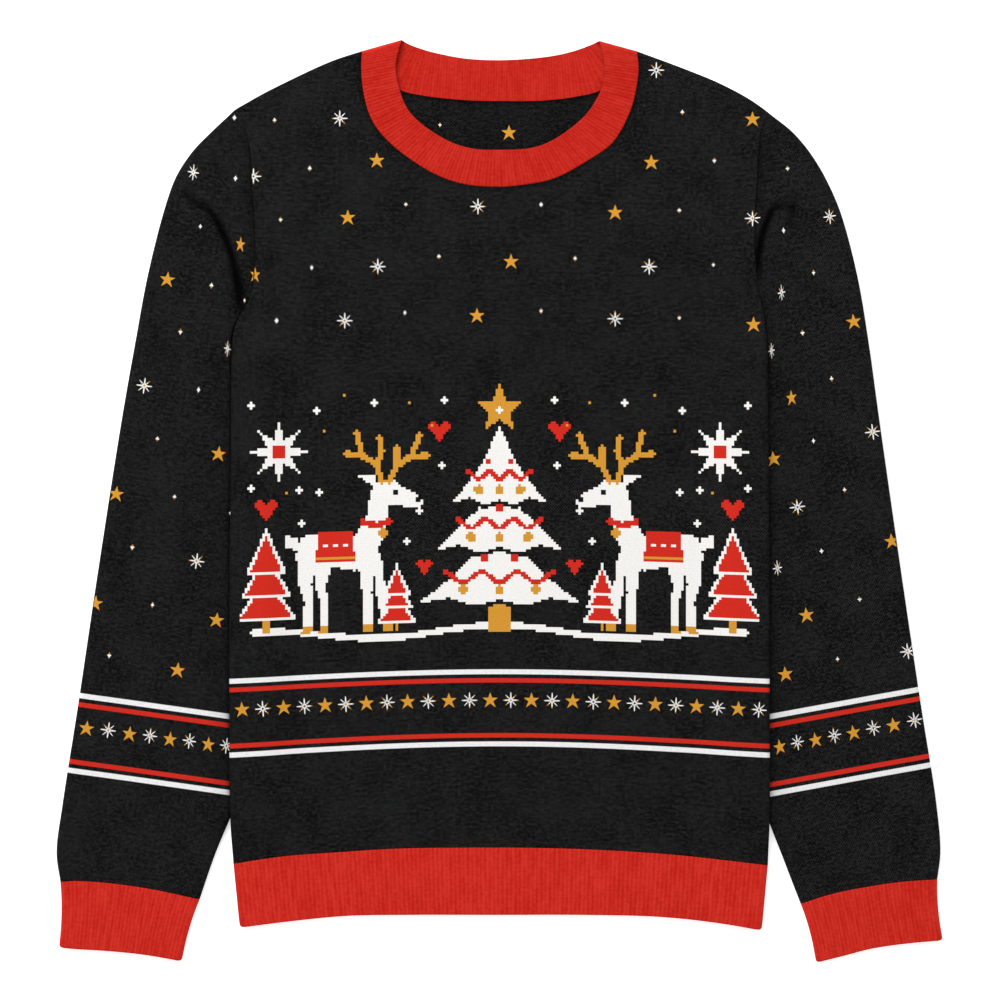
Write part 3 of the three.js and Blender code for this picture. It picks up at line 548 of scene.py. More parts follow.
rib = {  # the same yarn in a rib; the collar lies higher in the light, so its reds are painted a little deeper against that light
    # one value here sets the painted shade down in the grooves between the ribs
    "course": 1.3, "slant": 0.5, "rise": 0.18, "gloss": 0.05, "paintedGrooveShade": -0.24, "middle": 0.5,
    "body": ("#b81f14", "#ca3025"), "collar": ("#ab1b11", "#bc2b20"),
    "grain": {"mottle": (3.2, 2.6, 3, 1.7), "cloud": (30, 30, 3, 0.9)},
    "lines": {"line": (1.1, 20, 0, 1.2)},  # along the ribs, its length in ribs
}


def startMaterial(name):  # a new material, and the place across and up the knitting that its patterns read
    material = bpy.data.materials.new(name)
    material.use_nodes = True
    tree = material.node_tree
    tree.nodes.clear()
    place = addNode(tree, "UVMap", uv_map="knit")
    u = addNode(tree, "SeparateXYZ", place)
    return material, tree, place, u, u.node.outputs[1]


def grains(tree, place, kinds, start):  # noises stretched to their length and height, and their weighted sum
    found, shade = {}, start
    for key, (length, height, detail, amount) in kinds.items():
        spread = addNode(tree, "Mapping", {"Vector": place, "Scale": (1 / length, 1 / height, 1 / length)})
        found[key] = addNode(tree, "TexNoise", {"Vector": spread, "Scale": 1.0, "Detail": detail})
        centred = addNode(tree, "Math", found[key], 0.5, operation="SUBTRACT")
        shade = addNode(tree, "Math", centred, amount, shade, operation="MULTIPLY_ADD")
    return shade, found


def stitches(tree, wales, courses, slant):  # V-shaped loops, two legs to a wale: 0.5 + 0.3 leg - 0.2 across
    side = addNode(tree, "Math", wales, operation="FRACT")
    side = addNode(tree, "Math", side, 0.5, operation="SUBTRACT")
    side = addNode(tree, "Math", side, operation="ABSOLUTE")
    leg = addNode(tree, "Math", side, slant * 2, courses, operation="MULTIPLY_ADD")
    leg = addNode(tree, "Math", leg, 2 * np.pi, operation="MULTIPLY")
    leg = addNode(tree, "Math", leg, operation="COSINE")
    across = addNode(tree, "Math", side, 4 * np.pi, operation="MULTIPLY")
    across = addNode(tree, "Math", across, operation="COSINE")
    across = addNode(tree, "Math", across, -0.2, 0.5, operation="MULTIPLY_ADD")
    return addNode(tree, "Math", leg, 0.3, across, operation="MULTIPLY_ADD"), side


def finish(tree, colour, height, rise, gloss):
    bump = addNode(tree, "Bump", {"Height": height, "Distance": rise * mm, "Strength": 1.0})
    shader = addNode(tree, "BsdfPrincipled", {"Base Color": colour, "Roughness": knit["rough"],
                                              "Specular IOR Level": gloss, "Normal": bump})
    addNode(tree, "OutputMaterial", shader)


def jacquardKnit(name):
    # fine wool jacquard: dull, with a faint brick pattern of loops, cloudy patches and faint level streaks,
    # the white and the red stripes of its band knitted in, and painted shade darkening it where the fold
    # attribute says
    material, tree, place, u, v = startMaterial(name)
    wales = addNode(tree, "Math", u, knit["wale"], operation="DIVIDE")
    courses = addNode(tree, "Math", v, knit["course"], operation="DIVIDE")
    loops, side = stitches(tree, wales, courses, knit["slant"])
    shade, found = grains(tree, place, knit["grain"], knit["middle"])
    brick = addNode(tree, "MapRange", found["patches"], 0.3, 0.62, 0.6 * knit["brick"], 1.1 * knit["brick"],
                    interpolation_type="SMOOTHSTEP")
    for count, turns, bend, amount in ((wales, 2.0, "wander", 9.0), (courses, 1.0, "patches", 7.0)):
        bent = addNode(tree, "Math", found[bend], amount, operation="MULTIPLY")
        wave = addNode(tree, "Math", count, turns * np.pi, bent, operation="MULTIPLY_ADD")
        wave = addNode(tree, "Math", wave, operation="SINE")
        brick = addNode(tree, "Math", brick, wave, operation="MULTIPLY")
    shade = addNode(tree, "Math", shade, brick, operation="ADD", use_clamp=True)
    colour = addNode(tree, "Mix", {0: shade, 6: linear(knit["dark"]), 7: linear(knit["light"])}, out=2,
                     data_type="RGBA")
    level = addNode(tree, "Math", side, 0.35, v, operation="MULTIPLY_ADD")
    level = addNode(tree, "Math", level, operation="ABSOLUTE")
    worn = addNode(tree, "MapRange", found["fleck"], 0.3, 0.7, interpolation_type="SMOOTHSTEP")
    for at, half, code in (("whiteAt", "whiteHalf", "white"), ("redAt", "redHalf", "red")):
        tone = linear(knit[code])
        dim = tuple(0.9 * part for part in tone[:3]) + (1.0,)
        stripe = addNode(tree, "Mix", {0: worn, 6: dim, 7: tone}, out=2, data_type="RGBA")
        away = addNode(tree, "Math", level, knit[at], operation="SUBTRACT")
        away = addNode(tree, "Math", away, operation="ABSOLUTE")
        mask = addNode(tree, "MapRange", away, knit[half] - knit["blur"], knit[half] + knit["blur"], 1.0, 0.0,
                       interpolation_type="SMOOTHSTEP")
        colour = addNode(tree, "Mix", {0: mask, 6: colour, 7: stripe}, out=2, data_type="RGBA")
    # painted shade: the fold attribute darkens the colour towards black
    fold = addNode(tree, "Attribute", out="Fac", attribute_name="fold")
    fold = addNode(tree, "Math", fold, knit["paintedFoldShade"], operation="MULTIPLY")
    colour = addNode(tree, "Mix", {0: fold, 6: colour, 7: linear("#000000")}, out=2, data_type="RGBA")
    finish(tree, colour, loops, knit["rise"], knit["gloss"])
    return material


def ribKnit(name, tones):
    # wool rib: soft mottled red, with painted shade down in the grooves; U counts ribs, V is in mm
    material, tree, place, u, v = startMaterial(name)
    metres = addNode(tree, "TexCoord", out="Object")
    spot = addNode(tree, "VectorMath", {0: metres, 3: 1 / mm}, operation="SCALE")
    shade, _ = grains(tree, spot, rib["grain"], rib["middle"])
    shade, _ = grains(tree, place, rib["lines"], shade)
    courses = addNode(tree, "Math", v, rib["course"], operation="DIVIDE")
    loops, _ = stitches(tree, u, courses, rib["slant"])
    # painted shade down in the grooves between the ribs
    paintedGrooveShade = addNode(tree, "Math", u, 2 * np.pi, operation="MULTIPLY")
    paintedGrooveShade = addNode(tree, "Math", paintedGrooveShade, operation="COSINE")
    shade = addNode(tree, "Math", paintedGrooveShade, rib["paintedGrooveShade"], shade, operation="MULTIPLY_ADD", use_clamp=True)
    colour = addNode(tree, "Mix", {0: shade, 6: linear(tones[0]), 7: linear(tones[1])}, out=2,
                     data_type="RGBA")
    finish(tree, colour, loops, rib["rise"], rib["gloss"])
    return material


def yarn(name, dark, light):  # one motif yarn: the same loops as the ground it is knitted into
    material, tree, place, u, v = startMaterial(name)
    wales = addNode(tree, "Math", u, knit["wale"], operation="DIVIDE")
    courses = addNode(tree, "Math", v, knit["course"], operation="DIVIDE")
    loops, _ = stitches(tree, wales, courses, knit["slant"])
    shade, _ = grains(tree, place, {"fleck": (2.0, 1.25, 1.0, 1.0)}, 0.5)
    # the colour follows the loops too, lighter on each loop and darker between: painted shade in the stitches
    shade = addNode(tree, "Math", loops, 0.5, shade, operation="MULTIPLY_ADD", use_clamp=True)
    colour = addNode(tree, "Mix", {0: shade, 6: linear(dark), 7: linear(light)}, out=2, data_type="RGBA")
    finish(tree, colour, loops, knit["rise"], rib["gloss"])
    return material


# the shells

black = jacquardKnit("black jacquard knit")
red = ribKnit("red rib knit", rib["body"])
redCollar = ribKnit("red collar rib knit", rib["collar"])

frontStrip = {"seam": curveThrough(neck["frontSeam"]), "free": curveThrough(neck["frontFree"])}
backStrip = {"seam": curveThrough(neck["backSeam"]), "free": curveThrough(neck["backFree"])}
hemSeam, hemEdge = curveThrough(hem["seam"]), curveThrough(hem["edge"])

body = {  # mm, and shares of the way up the side: the underarm, the shoulder, and where the rolls end
    "length": 682, "step": 4, "edge": 0.8, "columns": 112, "half": 225, "bandAt": -173.35, "bandSag": 8.3,
    "underarm": 0.6, "shoulder": 0.84, "sideRoll": (0.545, 0.6), "shoulderRoll": (0.84, 0.858),
}


def bodyPatch(strip):  # a Coons patch between the hem seam, the collar's seam and the two sides
    top = {"share": even(400), "xy": follow(strip["seam"], even(400))}
    sides = [chain([curveThrough(outline[part + name]) for part in ("side", "armhole", "shoulder")],
                   [0, body["underarm"], body["shoulder"], 1]) for name in ("Left", "Right")]
    corners = [follow(curve, e) for curve in (hemSeam, top) for e in (0.0, 1.0)]

    def patch(across, along):
        a, b = across[..., None], along[..., None]
        point = (1 - b) * follow(hemSeam, across) + b * follow(top, across)
        point = point + (1 - a) * follow(sides[0], along) + a * follow(sides[1], along)
        point = point - (1 - a) * (1 - b) * corners[0] - a * (1 - b) * corners[1]
        return point - (1 - a) * b * corners[2] - a * b * corners[3]

    return patch


def bodyFolded(along):  # rolled along the side seam and the shoulder, a plain edge at the armhole
    return 1 - softStep(*body["sideRoll"], along) + softStep(*body["shoulderRoll"], along)


def spaced(length, step, edge):  # row places: close together where an edge is rounded, then even
    start = np.array([0, 0.12, 0.3, 0.6, 1.0]) * edge
    count = max(2, int(round((length - 4 * edge) / step)))
    return np.r_[start, mix(2 * edge, length - 2 * edge, even(count)), length - start[::-1]] / length


def bandDrop(x, y):  # how far the courses sag below level towards the sides
    sag = np.interp(y, [-300, -204, -143, -40, 100, 180], [13.5, 8.6, 7.6, 5.0, 0, 0])
    side = (x / body["half"]) ** 2
    return (1.42 * side - 0.42 * side**2) * sag


def bodyUv(net):  # U along the course, V up the wales from the middle of the striped band, in mm
    x, y = net[..., 0], net[..., 1]
    return np.dstack([x, y - body["bandAt"] + bandDrop(x, y)])


shells = {}
bodyRows = spaced(body["length"], body["step"], body["edge"])
drops = roundedEnds(bodyRows, body["length"], body["edge"])
# each panel's painted shade: the front's under the collar, the back's down in the neck
for name, strip, side, height, shade in (("front", frontStrip, 1, frontHeight, paintedCollarShadow),
                                         ("back", backStrip, -1, backHeight, paintedNeckShade)):
    nets = [panelNet(bodyPatch(strip), bodyRows, body["columns"], inset, side, height, bodyFolded,
                     drops if not inset else 0) for inset in (0, levels["knitWall"])]
    shells[name] = wall(name + "_knit", *nets, bodyUv(nets[0]), black, shade=shade)


def ribUv(net, depth):  # U counts the ribs, V is in mm
    count = (np.arange(net.shape[1]) - halfFold) / perRib
    return np.dstack(np.broadcast_arrays(count, depth[:, None]))


hemRib = {"depth": 56.0, "step": 5.0, "edge": 1.0, "ribs": 121, "corner": 3.2, "width": 440.0}
hemRows = spaced(hemRib["depth"], hemRib["step"], hemRib["edge"])


def hemPatch(across, along):  # its two lower corners drawn in on a small round
    drawn = edgeRound((1 - along) * hemRib["depth"], hemRib["corner"]) / hemRib["width"]
    across = mix(drawn, 1 - drawn, across)
    return mix(follow(hemSeam, across), follow(hemEdge, across), along[..., None])


drops = roundedEnds(hemRows, hemRib["depth"], hemRib["edge"])
for name, side, height in (("hem_front", 1, hemHeight), ("hem_back", -1, hemBackHeight)):
    ribRow = ribRun(hemRib["ribs"]) - (side < 0)
    nets = [panelNet(hemPatch, hemRows, perRib * hemRib["ribs"], inset, side, height, always(1),
                     0 if inset else drops, 0 if inset else ribRow) for inset in (0, levels["ribWall"])]
    shells[name] = wall(name + "_rib", *nets, ribUv(nets[0], -hemRib["depth"] * hemRows), red)
print("body and hem made")

sleeve = {  # mm; shares of the way down, from the shoulder: the underarm, and where the rolled edge is full
    "length": 655, "step": 3.2, "edge": 0.8, "underarm": 0.25, "tucked": 0.32, "rolled": 0.315, "bow": 0.7,
    "cap": (0.12, 0.45), "dip": 1.1, "dipWidth": 10, "topColumns": 66, "underColumns": 42,
    # the striped band's slope, its place up from the origin and its scale, as knitted
    "left": (0.139, 0.990, 241.9, 0.957), "right": (-0.1796, 0.9837, 250.5, 0.946),
}


def straightTube(side):  # rows from the outer edge straight to the armhole and then the inner edge
    armhole = curveThrough(outline["armhole" + side.title()])
    innerEdge = curveThrough(sleeves[side]["inner"])
    upside = {"share": 1 - armhole["share"][::-1], "xy": armhole["xy"][::-1]}
    outer = curveThrough([tuple(armhole["xy"][-1])] + sleeves[side]["outer"][1:])
    inner = chain([upside, innerEdge], [0, sleeve["underarm"], 1])
    seam = curveThrough(sleeves[side]["cuffSeam"])

    def patch(across, along):  # bows towards the cuff seam near its end
        a = across[..., None]
        point = follow(outer, along) * (1 - a) + follow(inner, along) * a
        end = follow(outer, 1.0) * (1 - a) + follow(inner, 1.0) * a
        return point + (follow(seam, across) - end) * softStep(sleeve["bow"], 1, along)[..., None]

    return patch


def sleeveShape(x, y):  # with a shallow dip where the sleeve head meets the armhole seam
    dip = sleeve["dip"] * np.exp(-((armholeAway(x, y) / sleeve["dipWidth"]) ** 2)) * softStep(160, 200, y)
    return 0.25 + 0.8 * unevenAt(x, y) - dip - creaseAt(x, y, creases["sleeves"])


def underLift(x, y):
    return 0.8 * creaseAt(x, y, creases["under"])


def sleeveUv(net, side):  # U along the band, V across it from its middle, a little deeper than on the body
    x, y = net[..., 0], net[..., 1]
    across, up, place, scale = sleeve[side]
    return np.dstack([up * x - across * y, (across * x + up * y + place) * scale])


sleeveRows = spaced(sleeve["length"], sleeve["step"], sleeve["edge"])
sleeveRows[0] = 0.0006  # just off the shoulder's point, where the tube has no width
openRows = int(np.searchsorted(sleeveRows, sleeve["underarm"]))
sleeveRows[openRows] = sleeve["underarm"]
drops = roundedEnds(sleeveRows, sleeve["length"], sleeve["edge"])
for side in ("left", "right"):
    tube = {"patch": straightTube(side), "rows": sleeveRows, "wall": levels["knitWall"],
            "middle": lambda along: mix(levels["sleeveCap"], levels["sleeveMiddle"],
                                        softStep(*sleeve["cap"], along)),
            "inner": lambda along: mix(levels["fold"], levels["tucked"],
                                       softStep(sleeve["underarm"], sleeve["tucked"], along)),
            "rolled": lambda along: softStep(sleeve["underarm"], sleeve["rolled"], along),
            "crowd": 1.45, "shape": sleeveShape, "lift": underLift}  # crowd: columns closer at the inner edge
    nets = [tubeNet(tube, inset, sleeve["topColumns"], sleeve["underColumns"], drops if not inset else 0)
            for inset in (0, levels["knitWall"])]
    uv = sleeveUv(nets[0], side)
    # the sleeves carry painted shade in their folds, beside the armhole seam and a painted shadow under the
    # body's edges
    shells["sleeve_" + side] = wall("sleeve_" + side + "_knit", *nets, uv, black, openRows, paintedSleeveShade)

cuffRib = {"depth": 55.0, "step": 5.0, "edge": 1.0, "ribs": 33, "corner": 3.0, "width": 112.0, "pinch": 1.6}
cuffRows = spaced(cuffRib["depth"], cuffRib["step"], cuffRib["edge"])
drops = roundedEnds(cuffRows, cuffRib["depth"], cuffRib["edge"])
columns, ribTop = perRib * cuffRib["ribs"], ribRun(cuffRib["ribs"])
for side in ("left", "right"):
    seam, edge = curveThrough(sleeves[side]["cuffSeam"]), curveThrough(sleeves[side]["cuffEdge"])
    inwards = follow(seam, 1.0) - follow(seam, 0.0)
    inwards = inwards / np.hypot(*inwards)

    def cuffPatch(across, along):  # straight down, drawn in by pinch * 4 s (1 - s), its corners rounded
        drawn = edgeRound((1 - along) * cuffRib["depth"], cuffRib["corner"]) / cuffRib["width"]
        across = mix(drawn, 1 - drawn, across)
        share = along[..., None]
        pinch = cuffRib["pinch"] * 4 * share * (1 - share) * (1 - 2 * across[..., None])
        return mix(follow(seam, across), follow(edge, across), share) + inwards * pinch

    tube = {"patch": cuffPatch, "rows": cuffRows, "wall": levels["ribWall"],
            "middle": always(levels["cuffMiddle"]), "inner": always(levels["tucked"]), "rolled": always(1),
            "shape": always(0), "lift": always(0)}
    nets = [tubeNet(tube, 0, columns, columns, drops, ribTop),
            tubeNet(tube, levels["ribWall"], columns, columns)]
    uv = ribUv(nets[0], -cuffRib["depth"] * cuffRows)
    shells["cuff_" + side] = wall("cuff_" + side + "_rib", *nets, uv, red, 0)

collarRib = {"depth": 30.0, "step": 4.0, "edge": 0.9, "front": 119, "back": 74, "rise": 0.7}
collarRows = spaced(collarRib["depth"], collarRib["step"], collarRib["edge"])
drops = roundedEnds(collarRows, collarRib["depth"], collarRib["edge"])
runs = [collarRib["front"], collarRib["back"]]
columns, rises = [perRib * ribs for ribs in runs], [collarRib["rise"] * ribRun(ribs) for ribs in runs]
nets = [collarNet(collarRows, 0, *columns, drops, rises[0], 0),  # what shows of the back is its inner side
        collarNet(collarRows, levels["ribWall"], *columns, 0, 0, rises[1])]
shells["collar"] = wall("collar_rib", *nets, ribUv(nets[0], collarRib["depth"] * collarRows), redCollar, 0)
print("sleeves, cuffs and collar made")

# motifs knitted in: small shapes drawn flat in mm, laid on their panel and kept a hair above it

yarns = [yarn("white wool yarn", "#d8d6d2", "#eeece9"), yarn("gold wool yarn", "#bb812a", "#d09434"),
         yarn("scarlet wool yarn", "#b92318", "#cc2c20"), yarn("black wool yarn", "#0a0a0a", "#161616")]
white, gold, scarlet, ink = range(4)
rng = np.random.default_rng(24)


def fan(points, colour):  # triangles from the middle of a star-shaped outline, each split in four
    rim = np.asarray(points, float)
    centre = rim.mean(axis=0)
    corners = np.stack([np.broadcast_to(centre, rim.shape), rim, np.roll(rim, -1, axis=0)], axis=1)
    return {"corners": split(corners), "colour": colour}


def split(corners):
    a, b, c = corners[:, 0], corners[:, 1], corners[:, 2]
    ab, bc, ca = (a + b) / 2, (b + c) / 2, (c + a) / 2
    return np.concatenate([np.stack(t, axis=1) for t in ((a, ab, ca), (ab, b, bc), (ca, bc, c), (ab, bc, ca))])


def ray(angle, start, end, width, colour, tip=0.6):  # a straight arm that narrows a little to its tip
    along = np.array([np.cos(angle), np.sin(angle)])
    aside = np.array([-along[1], along[0]]) * width / 2
    a, b, c, d = (start * along - aside, end * along - aside * tip, end * along + aside * tip,
                  start * along + aside)
    return {"corners": split(np.array([[a, b, c], [a, c, d]])), "colour": colour}


def star(size=6.7):  # five points, the two feet a little wide
    angle = np.radians(90 + 36 * np.arange(10))
    reach = np.where(np.arange(10) % 2 == 0, 1.0, 0.4) * size
    rim = np.stack([reach * np.cos(angle), reach * np.sin(angle)], axis=1)
    rim[[4, 6]] *= (1.16, 1.1)
    parts = [fan(rim, gold)]
    if rng.random() < 0.4:  # a few have a scarlet stitch at one point
        point = rim[8 if rng.random() < 0.5 else 6]
        corners = point * [[0.74], [1.0], [0.8]] + [[0, -0.9], [0, 0], [0, 0.9]]
        parts.append({"corners": split(corners[None]), "colour": scarlet, "raised": 1})
    return parts


def flake():  # four long arms and four short ones that thin out, and a small bright heart
    parts = []
    for i in range(8):
        long = i % 2 == 0
        tipped = rng.random() < (0.18 if long else 0.55)
        end, width = (6.6, 1.4) if long else (6.2, 1.05)
        cut = end - (1.5 if long else 2.4)
        parts.append(ray(i * np.pi / 4, 1.0 if long else 2.6, cut, width, white, 0.7))
        parts.append(ray(i * np.pi / 4, cut, end, width * 0.7, gold if tipped else white, 0.55))
    parts.append(fan([(3.0, 0), (1.5, 1.5), (0, 3.0), (-1.5, 1.5), (-3.0, 0), (-1.5, -1.5), (0, -3.0),
                      (1.5, -1.5)], white))
    dot = fan([(1.05, 0), (0, 1.05), (-1.05, 0), (0, -1.05)], gold if rng.random() < 0.6 else ink)
    dot["raised"] = 1
    return parts + [dot]


def diamond():  # a four-pointed speck
    wide, tall = rng.uniform(1.5, 1.95), rng.uniform(2.1, 2.8)
    pinch = 0.36
    rim = [(wide, 0), (wide * pinch, tall * pinch), (0, tall), (-wide * pinch, tall * pinch), (-wide, 0),
           (-wide * pinch, -tall * pinch), (0, -tall), (wide * pinch, -tall * pinch)]
    parts = [fan(rim, white)]
    if rng.random() < 0.6:
        flip = rng.choice([-1, 1])
        tip = fan([(0.9, tall * 0.2 * flip), (0, tall * flip), (-0.9, tall * 0.2 * flip)][::flip], gold)
        tip["raised"] = 1
        parts.append(tip)
    return parts


shapesByName = {"star": star, "flake": flake, "diamond": diamond}


def fromView(px, py):  # mm from a place that was read off the view in pixels
    return (px - view["middle"][0]) * view["mmPerPixel"], (view["middle"][1] - py) * view["mmPerPixel"]


def placed(name, x, y, turn=0.0, squeeze=1.0):  # a motif at x, y in mm, turned, and narrowed where cloth rolls
    cos, sin = np.cos(turn), np.sin(turn)
    turned = np.array([[cos, sin], [-sin, cos]])
    parts = shapesByName[name]()
    for part in parts:
        part["corners"] = split(part["corners"]) @ turned * (squeeze, 1.0) + (x, y)
    return parts


inlaid = {"far": 40, "missed": 30, "above": 0.25, "raised": 0.08}  # mm: where it starts, and how it is laid


def motifMesh(name, points, colours):  # loose triangles, three points to each, in the yarns' colours
    faces = np.arange(len(points)).reshape(-1, 3)
    piece = addMesh(name, points, faces.tolist(), points[:, :2], yarns[0])
    for material in yarns[1:]:
        piece.data.materials.append(material)
    piece.data.polygons.foreach_set("material_index", colours.astype(np.int32))
    return piece


def inlay(name, parts, shell, fromBelow=False):  # projected straight down or up onto the shell
    corners = np.concatenate([part["corners"] for part in parts]).reshape(-1, 3, 2)
    colours = np.concatenate([np.full(len(part["corners"]), part["colour"]) for part in parts])
    raised = np.concatenate([np.full(len(part["corners"]), part.get("raised", 0)) for part in parts])
    outwards = -1 if fromBelow else 1
    flat = corners[:, ::outwards].reshape(-1, 2)
    piece = motifMesh(name, np.column_stack([flat, np.full(len(flat), outwards * inlaid["far"])]), colours)
    wrap = piece.modifiers.new("laid on the cloth", "SHRINKWRAP")
    wrap.target, wrap.wrap_method = shell, "PROJECT"
    wrap.use_project_z = True
    wrap.use_positive_direction, wrap.use_negative_direction = fromBelow, not fromBelow
    laid = bpy.data.meshes.new_from_object(piece.evaluated_get(bpy.context.evaluated_depsgraph_get()))
    place = np.empty(len(flat) * 3)
    laid.vertices.foreach_get("co", place)
    place = place.reshape(-1, 3) / mm
    place[:, 2] += outwards * (inlaid["above"] + inlaid["raised"] * np.repeat(raised, 3))
    keep = (np.abs(place[:, 2]) <= inlaid["missed"]).reshape(-1, 3).all(axis=1)  # the rest lies off the panel
    bpy.data.objects.remove(piece)
    return motifMesh(name, place.reshape(-1, 3, 3)[keep].reshape(-1, 3), colours[keep])


scatter = {  # the small repeat: where each motif sits on the view; a third number narrows it
    "front": {
        "flake": [(656, 71), (340, 119), (254, 177), (478, 207), (752, 219), (378, 267), (649, 267),
                  (345, 321), (615, 319)],
        "star": [(752, 120), (377, 161), (651, 163), (348, 218), (615, 213), (255.6, 275.5, 0.66), (511, 262),
                 (477, 316), (753, 325)],
        "diamond": [(235, 117), (275, 121), (682, 113), (310, 169), (714, 161), (281, 220), (406, 205),
                    (541, 205), (679, 211), (312, 268), (439, 257), (575, 259), (713, 265), (277, 321),
                    (405, 313), (541, 311), (679, 318)],
    },
    "neck": {"diamond": [(440, 125)], "star": [(509, 133)]},
    "sleeve_left": {
        "flake": [(194, 173, 0.72), (228, 349, 0.45), (145, 386), (197, 561)],
        "star": [(241, 245, 0.6), (255.6, 275.5, 0.66), (168, 280), (219, 454), (117, 494), (96, 603),
                 (217, 620), (178, 670)],
        "diamond": [(231, 513), (235, 118.5), (236, 179), (201, 227), (212, 286), (245, 301, 0.55), (181, 332),
                    (199, 390), (158, 439), (175, 497), (133, 547), (153, 605), (110, 655)],
    },
    "sleeve_right": {
        "flake": [(752, 219), (829, 217, 0.8), (781, 293, 0.48), (771, 351, 0.42), (872, 432), (797, 507),
                  (777, 568, 0.6), (907, 651)],
        "star": [(853, 322), (791, 398, 0.7), (773, 459), (891, 541), (806, 615), (785, 674)],
        "diamond": [(787, 169), (783, 231), (813, 273), (802, 333), (831, 379), (813, 441), (844, 490),
                    (821, 551), (859, 599), (837, 659)],
    },
}
band = {"pitch": 20.6, "first": 243.0, "above": 6.3, "count": 26}  # the row between the stripes


def scattered(rows, turn=0.0):
    parts = []
    for name, places in rows.items():
        for px, py, *narrow in places:
            parts += placed(name, *fromView(px, py), turn, *narrow)
    return parts


def bandRow():  # stars and flakes by turns, on the sagging course
    parts = []
    for i in range(band["count"]):
        x, _ = fromView(band["first"] + i * band["pitch"], 0)
        y = body["bandAt"] + band["above"] - bandDrop(x, body["bandAt"])
        slope = -2 * x / body["half"] ** 2 * body["bandSag"]
        parts += placed("flake" if i % 2 else "star", x, float(y), float(slope))
    return parts


sleeveRow = {  # the same row on the sleeves, on the view; the spacing grows by bend away from the body
    "count": 8,
    "sleeve_left": {"from": (87.3, 728), "to": (226.8, 746.5), "bend": 0.1, "narrow": (1, 0.82)},
    "sleeve_right": {"from": (779.4, 746.6), "to": (913.8, 720.8), "bend": -0.1, "narrow": (0.82, 1)},
}


def sleeveBandRow(name):
    row = sleeveRow[name]
    start, end = np.array(fromView(*row["from"])), np.array(fromView(*row["to"]))
    turn = float(np.arctan2(*(end - start)[::-1]))
    share = even(sleeveRow["count"] - 1)
    share = share + row["bend"] * share * (1 - share)
    parts = []
    for i, t in enumerate(share):
        x, y = mix(start, end, t) + (0, 0.9 * (i % 2))
        parts += placed("flake" if i % 2 else "star", float(x), float(y), turn, float(mix(*row["narrow"], t)))
    return parts


# the picture on the front: a winter wood of its own, charted stitch by stitch, the same on both sides
# of a middle line. Everything is drawn in stitches, from the middle and the foot of the picture.

chart = {"stitch": 2.1, "halfWidth": 103, "height": 103, "foot": -117.0}
cellX, cellY = np.meshgrid(np.arange(-chart["halfWidth"], chart["halfWidth"] + 1), np.arange(chart["height"]))
ground = -1  # no yarn but the panel's own
cells = np.full(cellX.shape, ground)


def within(points):  # stitches inside a polygon: an odd number of edges lies to their right
    rim = np.asarray(points, float)
    inside = np.zeros(cellX.shape, bool)
    for (x0, y0), (x1, y1) in zip(rim, np.roll(rim, -1, axis=0)):
        if y0 != y1:
            spans = (y0 > cellY) != (y1 > cellY)
            inside ^= spans & (cellX < (x1 - x0) * (cellY - y0) / (y1 - y0) + x0)
    return inside


def smoothRim(points):  # the polygon with its corners rounded off
    return follow(curveThrough(list(points) + [points[0]], 12), even(120))[:-1]


def near(points, width):  # stitches within half a width of a run of straight lines
    spots = np.asarray(points, float)
    close = np.zeros(cellX.shape, bool)
    for start, end in zip(spots[:-1], spots[1:]):
        run = end - start
        t = np.clip(((cellX - start[0]) * run[0] + (cellY - start[1]) * run[1]) / (run @ run), 0, 1)
        close |= np.hypot(cellX - start[0] - t * run[0], cellY - start[1] - t * run[1]) <= width / 2
    return close


def disc(x, y, radius):
    return np.hypot(cellX - x, cellY - y) <= radius


def starRim(x, y, size, inner=0.42, points=5):
    angle = np.radians(90 + 180 / points * np.arange(2 * points))
    reach = np.where(np.arange(2 * points) % 2 == 0, 1.0, inner) * size
    return np.stack([x + reach * np.cos(angle), y + reach * np.sin(angle)], axis=1)


def moved(points, x, y):
    return [(a + x, b + y) for a, b in points]


def draw(mask, colour, both=True):  # both: the same again on the other side of the middle line
    cells[mask] = colour
    if both:
        cells[mask[:, ::-1]] = colour


draw(near([(x, 4.0 + 2.2 * np.cos(x / 15)) for x in range(-98, 99, 2)], 2.4), white)

# the big fir: three tiers with garlands, and a star on its top
draw(within([(-4.5, 4), (4.5, 4), (4.5, 16), (-4.5, 16)]), gold)
firTiers = [{"low": 15, "high": 50, "half": 33}, {"low": 36, "high": 67, "half": 26},
            {"low": 55, "high": 86, "half": 19}]
for tier in firTiers:
    low, high, half = tier["low"], tier["high"], tier["half"]
    rim = [(0, high), (half * 0.34, low + (high - low) * 0.52), (half * 0.7, low + 7), (half, low),
           (half * 0.62, low + 2.2), (half * 0.3, low - 1.0), (0, low + 1.4)]
    rim += [(-x, y) for x, y in rim[-2:0:-1]]
    outer = [(x * 1.07, y - 1.8 if y < low + 3 else y + 2.2) for x, y in rim]
    draw(within(outer), ground)
    draw(within(rim), white)
for tier, sag in zip(firTiers, (4.2, 3.6, 3.0)):
    low, half = tier["low"], tier["half"]
    reach = half * 0.66
    swag = [(x, low + 12.5 - sag * np.sin(np.pi * (x + reach) / (reach * 2 / 3)) ** 2)
            for x in np.linspace(-reach, reach, 40)]
    draw(near(swag, 1.9), scarlet, both=False)
    for share in (-0.44, 0.0, 0.44):
        draw(disc(half * share, low + 5.2, 1.9), gold, both=False)
for x, y in ((-6, 33), (6, 33), (0, 53), (-4.5, 71.5), (4.5, 71.5)):
    draw(disc(x, y, 1.5), scarlet, both=False)
draw(within(starRim(0, 92.5, 10.2)), gold)
draw(disc(0, 92, 1.2), white)

